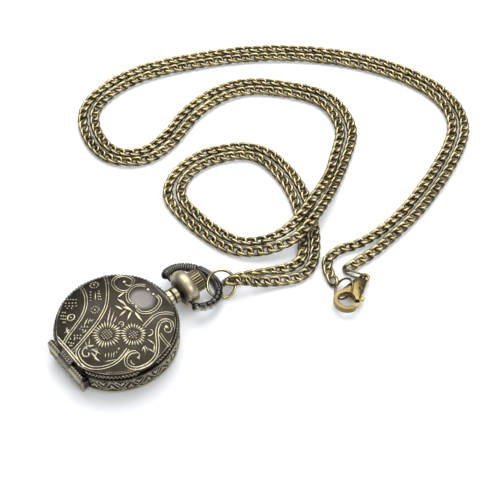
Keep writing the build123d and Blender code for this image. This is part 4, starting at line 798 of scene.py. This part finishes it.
# Bow: a cast horseshoe of gunmetal that swings on two pins. Its arms are beaded outside and roped on top
# along a smooth inner edge, and its arch is a plain band with raised lines.
bow_lean = radians(20)
bow_across = Vector((0, cos(bow_lean), -sin(bow_lean)))
bow_up = Vector((0, sin(bow_lean), cos(bow_lean)))
bow_middle = Vector((0, 17.3, 4.5)) + bow_across * 2.95
bow_radius = 6.4
bow_metal = aged_metal("worn_gunmetal", (0.050, 0.046, 0.042), (0.46, 0.43, 0.37), 0.30,
                       rub=[(bow_middle, (1, 1, 1), 6.95, 7.4)], stain=0.3, scale=0.9, bump=0.3)
dressed(["bow", "bow_pins"], bow_metal)


def on_bow(angle, out, up):
    """A point by the bow's wire in mm, this far outside it and above it, and the two directions there."""
    outwards = Vector((sin(radians(angle)), 0, 0)) + bow_across * cos(radians(angle))
    forward = Vector((cos(radians(angle)), 0, 0)) - bow_across * sin(radians(angle))
    return bow_middle + outwards * (bow_radius + out) + bow_up * up, outwards, forward


def off_wire(at):
    """How rubbed a point of the rope is by its distance from the bow's wire."""
    local = at * 1000 - bow_middle
    up = local.dot(bow_up)
    out = (local - bow_up * up).length - bow_radius
    return (sqrt(out * out + up * up) - 0.78) / 0.3


rope_metal = aged_metal("rubbed_gunmetal", (0.045, 0.042, 0.040), (0.32, 0.30, 0.27), 0.32, rub="rub",
                        stain=0.4)
rails = []
for turn_side in (-1, 1):
    for up in (-0.3, 0.3):
        rails.append([on_bow(turn_side * angle, -0.62, up)[0] / 1000 for angle in range(37, 110, 8)])
bow_rails = traced("bow_rails", rails, 0.62, bow_metal)
lines = [[on_bow(angle, out, up)[0] / 1000 for angle in range(-37, 38, 6)]
         for out, up in ((-0.5, 0.86), (0.1, 0.9), (0.6, 0.80), (-0.5, -0.86), (0.6, -0.80))]
bow_lines = traced("bow_lines", lines, 0.34, rope_metal)
ridge_radius, ridge_pitch, rope_pitch = 0.94, 5.2, 4.5
ridges = []
for number in range(15):
    ridges.append([on_bow(-40 - ridge_pitch * number - 0.04 * lift, ridge_radius * cos(radians(lift)),
                          ridge_radius * sin(radians(lift)))[0] / 1000 for lift in range(-80, 141, 20)])
bow_ridges = traced("bow_ridges", ridges, 0.42, rope_metal)
places = []
for number in range(18):
    for out, up in ((-0.15, 0.72), (-0.15, -0.72)):
        at, outwards, forward = on_bow(38 + rope_pitch * number, out, up)
        away = (outwards * out + bow_up * up).normalized()
        slanting = forward * 0.55 + away.cross(forward) * 0.85
        places.append(standing(at, slanting, away, 1.05, 0.42, 0.24))
bow_rope = joined(copied(leaf, places), "bow_rope", rope_metal)
for piece in (bow_rope, bow_ridges, bow_rails, bow_lines):
    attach(piece, "bow")
rubbed_by(bow_rope, off_wire)
rubbed_by(bow_ridges, lambda at: 0.8 * off_wire(at) - 0.3)
rubbed_by(bow_lines, lambda at: 0.55)

# Jump ring: pale brass wire, bent round and closed through the bow and the fold of the chain. It is smooth
# and stained in patches.
dressed(["jump_ring"], aged_metal("pale_ring_brass", (0.36, 0.29, 0.12), (0.74, 0.66, 0.38), 0.2, stain=0.7,
                                  bump=0.05))

# Curb chain: antiqued brass, plated dark and rubbed pale on the outside of each link. One oval link is bent
# from round wire and twisted, and every link is a copy of it, threaded on the line that the chain lies
# along.
chain_metal = aged_metal("antiqued_chain", (0.055, 0.042, 0.017), (0.58, 0.48, 0.25), 0.28, rub="rub",
                         stain=0.4, scale=0.8)
dressed(["clasp_link"], aged_metal("dark_wire", (0.05, 0.036, 0.016), (0.30, 0.24, 0.12), 0.28, stain=0.7))
link_pitch, link_radius, wire_radius = 0.00238, 0.00088, 0.00046
half_stretch, link_twist = 0.00077, 66
nothing_selected()
bpy.ops.mesh.primitive_torus_add(major_segments=16, minor_segments=5, major_radius=link_radius,
                                 minor_radius=wire_radius)
link = bpy.context.object
for end in (-1, 1):
    picked(link, lambda at: at.x * end > 0.00005)
    bpy.ops.transform.translate(value=(half_stretch * end, 0, 0))
    bpy.ops.object.mode_set(mode="OBJECT")
twist = link.modifiers.new("twist", "SIMPLE_DEFORM")
twist.deform_method = "TWIST"
twist.deform_axis = "X"
twist.angle = radians(link_twist)
bpy.ops.object.modifier_apply(modifier="twist")
rubbed_by(link, lambda at: 1.5 * (abs(at.z) / 0.0009) - 0.25)


def laid_line(points):
    """The smooth line that a strand lies along: a spline with these points in mm as its control points."""
    curve = bpy.data.curves.new("line", "CURVE")
    curve.dimensions = "3D"
    curve.resolution_u = 24
    spline = curve.splines.new("NURBS")
    spline.points.add(len(points) - 1)
    for point, at in zip(spline.points, points):
        point.co = (at[0] / 1000, at[1] / 1000, at[2] / 1000, 1)
    spline.order_u = 3
    spline.use_endpoint_u = True
    holder = bpy.data.objects.new("line", curve)
    bpy.context.collection.objects.link(holder)
    bpy.context.view_layer.update()
    flat = bpy.data.meshes.new_from_object(holder.evaluated_get(bpy.context.evaluated_depsgraph_get()))
    line = [vertex.co.copy() for vertex in flat.vertices]
    bpy.data.meshes.remove(flat)
    bpy.data.objects.remove(holder)
    return line


def along(line, distance):
    """The point and direction this far along a line."""
    for start, end in zip(line, line[1:]):
        step = (end - start).length
        if distance <= step and step > 0:
            return start.lerp(end, distance / step), (end - start).normalized()
        distance -= step
    return line[-1].copy(), (line[-1] - line[-2]).normalized()


def linked(name, points, lean):
    """One strand of links along the line through these points. lean is how far its links roll from flat."""
    line = laid_line(points)
    length = sum((end - start).length for start, end in zip(line, line[1:]))
    count = round(length / link_pitch)
    places = []
    for number in range(count):
        at, forward = along(line, (number + 0.5) * length / count)
        sideways = Vector((0, 0, 1)).cross(forward).normalized()
        upward = forward.cross(sideways)
        roll = radians(lean + 7 * sin(number * 1.7) + 6 * sin(number * 0.43 + 1.0))
        turned = Matrix.Rotation(roll, 3, forward)
        sideways, upward = turned @ sideways, turned @ upward
        places.append(Matrix((*zip(forward, sideways, upward, at), (0, 0, 0, 1))))
    strand = joined(copied(link, places), name, chain_metal)
    for vertex in strand.data.vertices:
        vertex.co.z = max(vertex.co.z, 0.00002)
    return strand, line, length


# The strands' control points in mm, as in the CAD. A middle line was picked by eye in the frame. A program
# outside this script laid it on the table and moved it to each side, and some points were moved by hand.
near_leg, near_turn = Vector((8.4, 34.8, 1.3)), Vector((13.2, 43.8, 1.0))
far_leg, far_turn = Vector((3.4, 33.0, 1.0)), Vector((9.9, 43.7, 1.0))
near_end = near_leg.lerp(near_turn, 0.5)
far_end = far_leg.lerp(far_turn, 0.5)
fold_points = [far_end, far_leg, (2.4, 27.9, 1.12), (4.2, 26.6, 4.2), (5.6, 29.4, 4.3), near_leg, near_end]
near_points = [near_end, near_turn, (6.5, 51.9, 1), (-7.0, 59.8, 1), (-20.9, 61.3, 1), (-28.2, 56.4, 1),
               (-32.7, 44.5, 1), (-28.1, 32.4, 1), (-15.9, 31.6, 1), (-1.8, 34.4, 1), (5.3, 45.7, 3.7),
               (1.4, 57.2, 3.7), (-3.4, 66.0, 1.2), (-9.0, 75.2, 1), (-14.5, 82.3, 1), (-26.0, 85.3, 1),
               (-36.2, 79.3, 1), (-45.7, 69.6, 1), (-46.6, 55.1, 1), (-41.0, 42.5, 1), (-41.4, 34.6, 1),
               (-46.8, 30.5, 1), (-55.4, 31.9, 1), (-61.5, 36.6, 1), (-63.0, 49.5, 1), (-56.6, 66.4, 1),
               (-47.5, 81.8, 1), (-35.3, 94.5, 1), (-22.0, 102.6, 1), (-9.5, 105.9, 1), (0.3, 102.9, 1),
               (6.4, 93.1, 1), (12.2, 76.2, 1), (13.8, 65.4, 1), (13.4, 58.6, 1), (11.3, 53.6, 1),
               (12.7, 48.1, 1), (18.2, 46.9, 1)]
far_points = [far_end, far_turn, (4.6, 49.6, 1), (-7.9, 57.0, 1), (-20.2, 58.3, 1), (-25.8, 54.6, 1),
              (-29.6, 44.5, 1), (-26.0, 35.1, 1), (-16.1, 34.5, 1), (-3.6, 37.0, 1), (2.2, 46.1, 3.7),
              (-2.9, 60.4, 3.7), (-6.8, 67.4, 1.2), (-11.4, 73.5, 1), (-16.1, 79.7, 1), (-25.6, 82.2, 1),
              (-34.4, 77.0, 1), (-42.8, 68.4, 1), (-43.7, 55.5, 1), (-38.0, 42.5, 1), (-38.6, 33.6, 1),
              (-45.9, 27.5, 1), (-56.6, 29.1, 1), (-64.2, 35.1, 1), (-66.0, 49.8, 1), (-59.2, 67.7, 1),
              (-49.8, 83.5, 1), (-37.2, 96.8, 1), (-23.1, 105.3, 1), (-9.4, 108.9, 1), (2.2, 105.3, 1),
              (9.0, 94.4, 1), (15.1, 76.9, 1), (16.8, 64.5, 1), (17.3, 58.0, 1), (16.8, 51.6, 1)]
near_strand, near_line, near_length = linked("near_strand", near_points, 8)
far_strand, far_line, far_length = linked("far_strand", far_points, -6)
fold, fold_line = linked("chain_fold", fold_points, 20)[:2]
bpy.data.objects.remove(link)
bpy.data.objects.remove(leaf)
for strand, node in ((near_strand, "chain_strand_a"), (far_strand, "chain_strand_b"), (fold, "chain_lead")):
    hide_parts(node)
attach(near_strand, "case")
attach(far_strand, "case")
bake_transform(fold)

# End ring, clasp and clasp link: a golden-brown cast claw with a sprung gate on a pin. The ring at the near
# strand's end hangs in the claw, and a long wire link joins the far strand to the clasp's eye.
clasp_brass = aged_metal("golden_clasp_brass", (0.095, 0.062, 0.026), (0.31, 0.232, 0.098), 0.25, stain=0.8,
                         scale=0.3, bump=0.05)
dressed(["end_ring", "clasp_lever", "clasp_pin"], clasp_brass)
nothing_selected()
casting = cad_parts["clasp_body"].copy()
casting.data = casting.data.copy()
bpy.context.collection.objects.link(casting)
casting.select_set(True)
bpy.context.view_layer.objects.active = casting
bpy.ops.object.mode_set(mode="EDIT")
bpy.ops.mesh.select_all(action="SELECT")
bpy.ops.mesh.remove_doubles(threshold=0.000002)
bpy.ops.object.mode_set(mode="OBJECT")
skin = casting.modifiers.new("skin", "REMESH")
skin.mode = "VOXEL"
skin.voxel_size = 0.00008
bpy.ops.object.modifier_apply(modifier="skin")
worn = casting.modifiers.new("worn", "SMOOTH")
worn.iterations = 9
worn.factor = 0.6
bpy.ops.object.modifier_apply(modifier="worn")
belly = casting.vertex_groups.new(name="belly")
claw_middle = Vector((24.0, 45.2, 2.15))
claw_turn, claw_tilt = radians(108), radians(6)
claw_forward = Vector((cos(claw_turn) * cos(claw_tilt), sin(claw_turn) * cos(claw_tilt), -sin(claw_tilt)))
claw_across = Vector((0, 0, 1)).cross(claw_forward).normalized()
for vertex in casting.data.vertices:
    local = vertex.co * 1000 - claw_middle
    ahead, aside = local.dot(claw_forward), local.dot(claw_across)
    width = 2.5 - 0.2 * max(ahead - 1.6, 0)
    swell = max(0.0, 1 - (aside / width) ** 2) * max(0.0, 1 - ((ahead - 4.0) / 3.6) ** 2)
    belly.add([vertex.index], swell, "REPLACE")
swelled = casting.modifiers.new("swelled", "DISPLACE")
swelled.vertex_group = "belly"
swelled.mid_level = 0
swelled.strength = 0.0005
bpy.ops.object.modifier_apply(modifier="swelled")
casting = joined([casting], "clasp_casting", clasp_brass)
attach(casting, "case")
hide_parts("clasp_body")
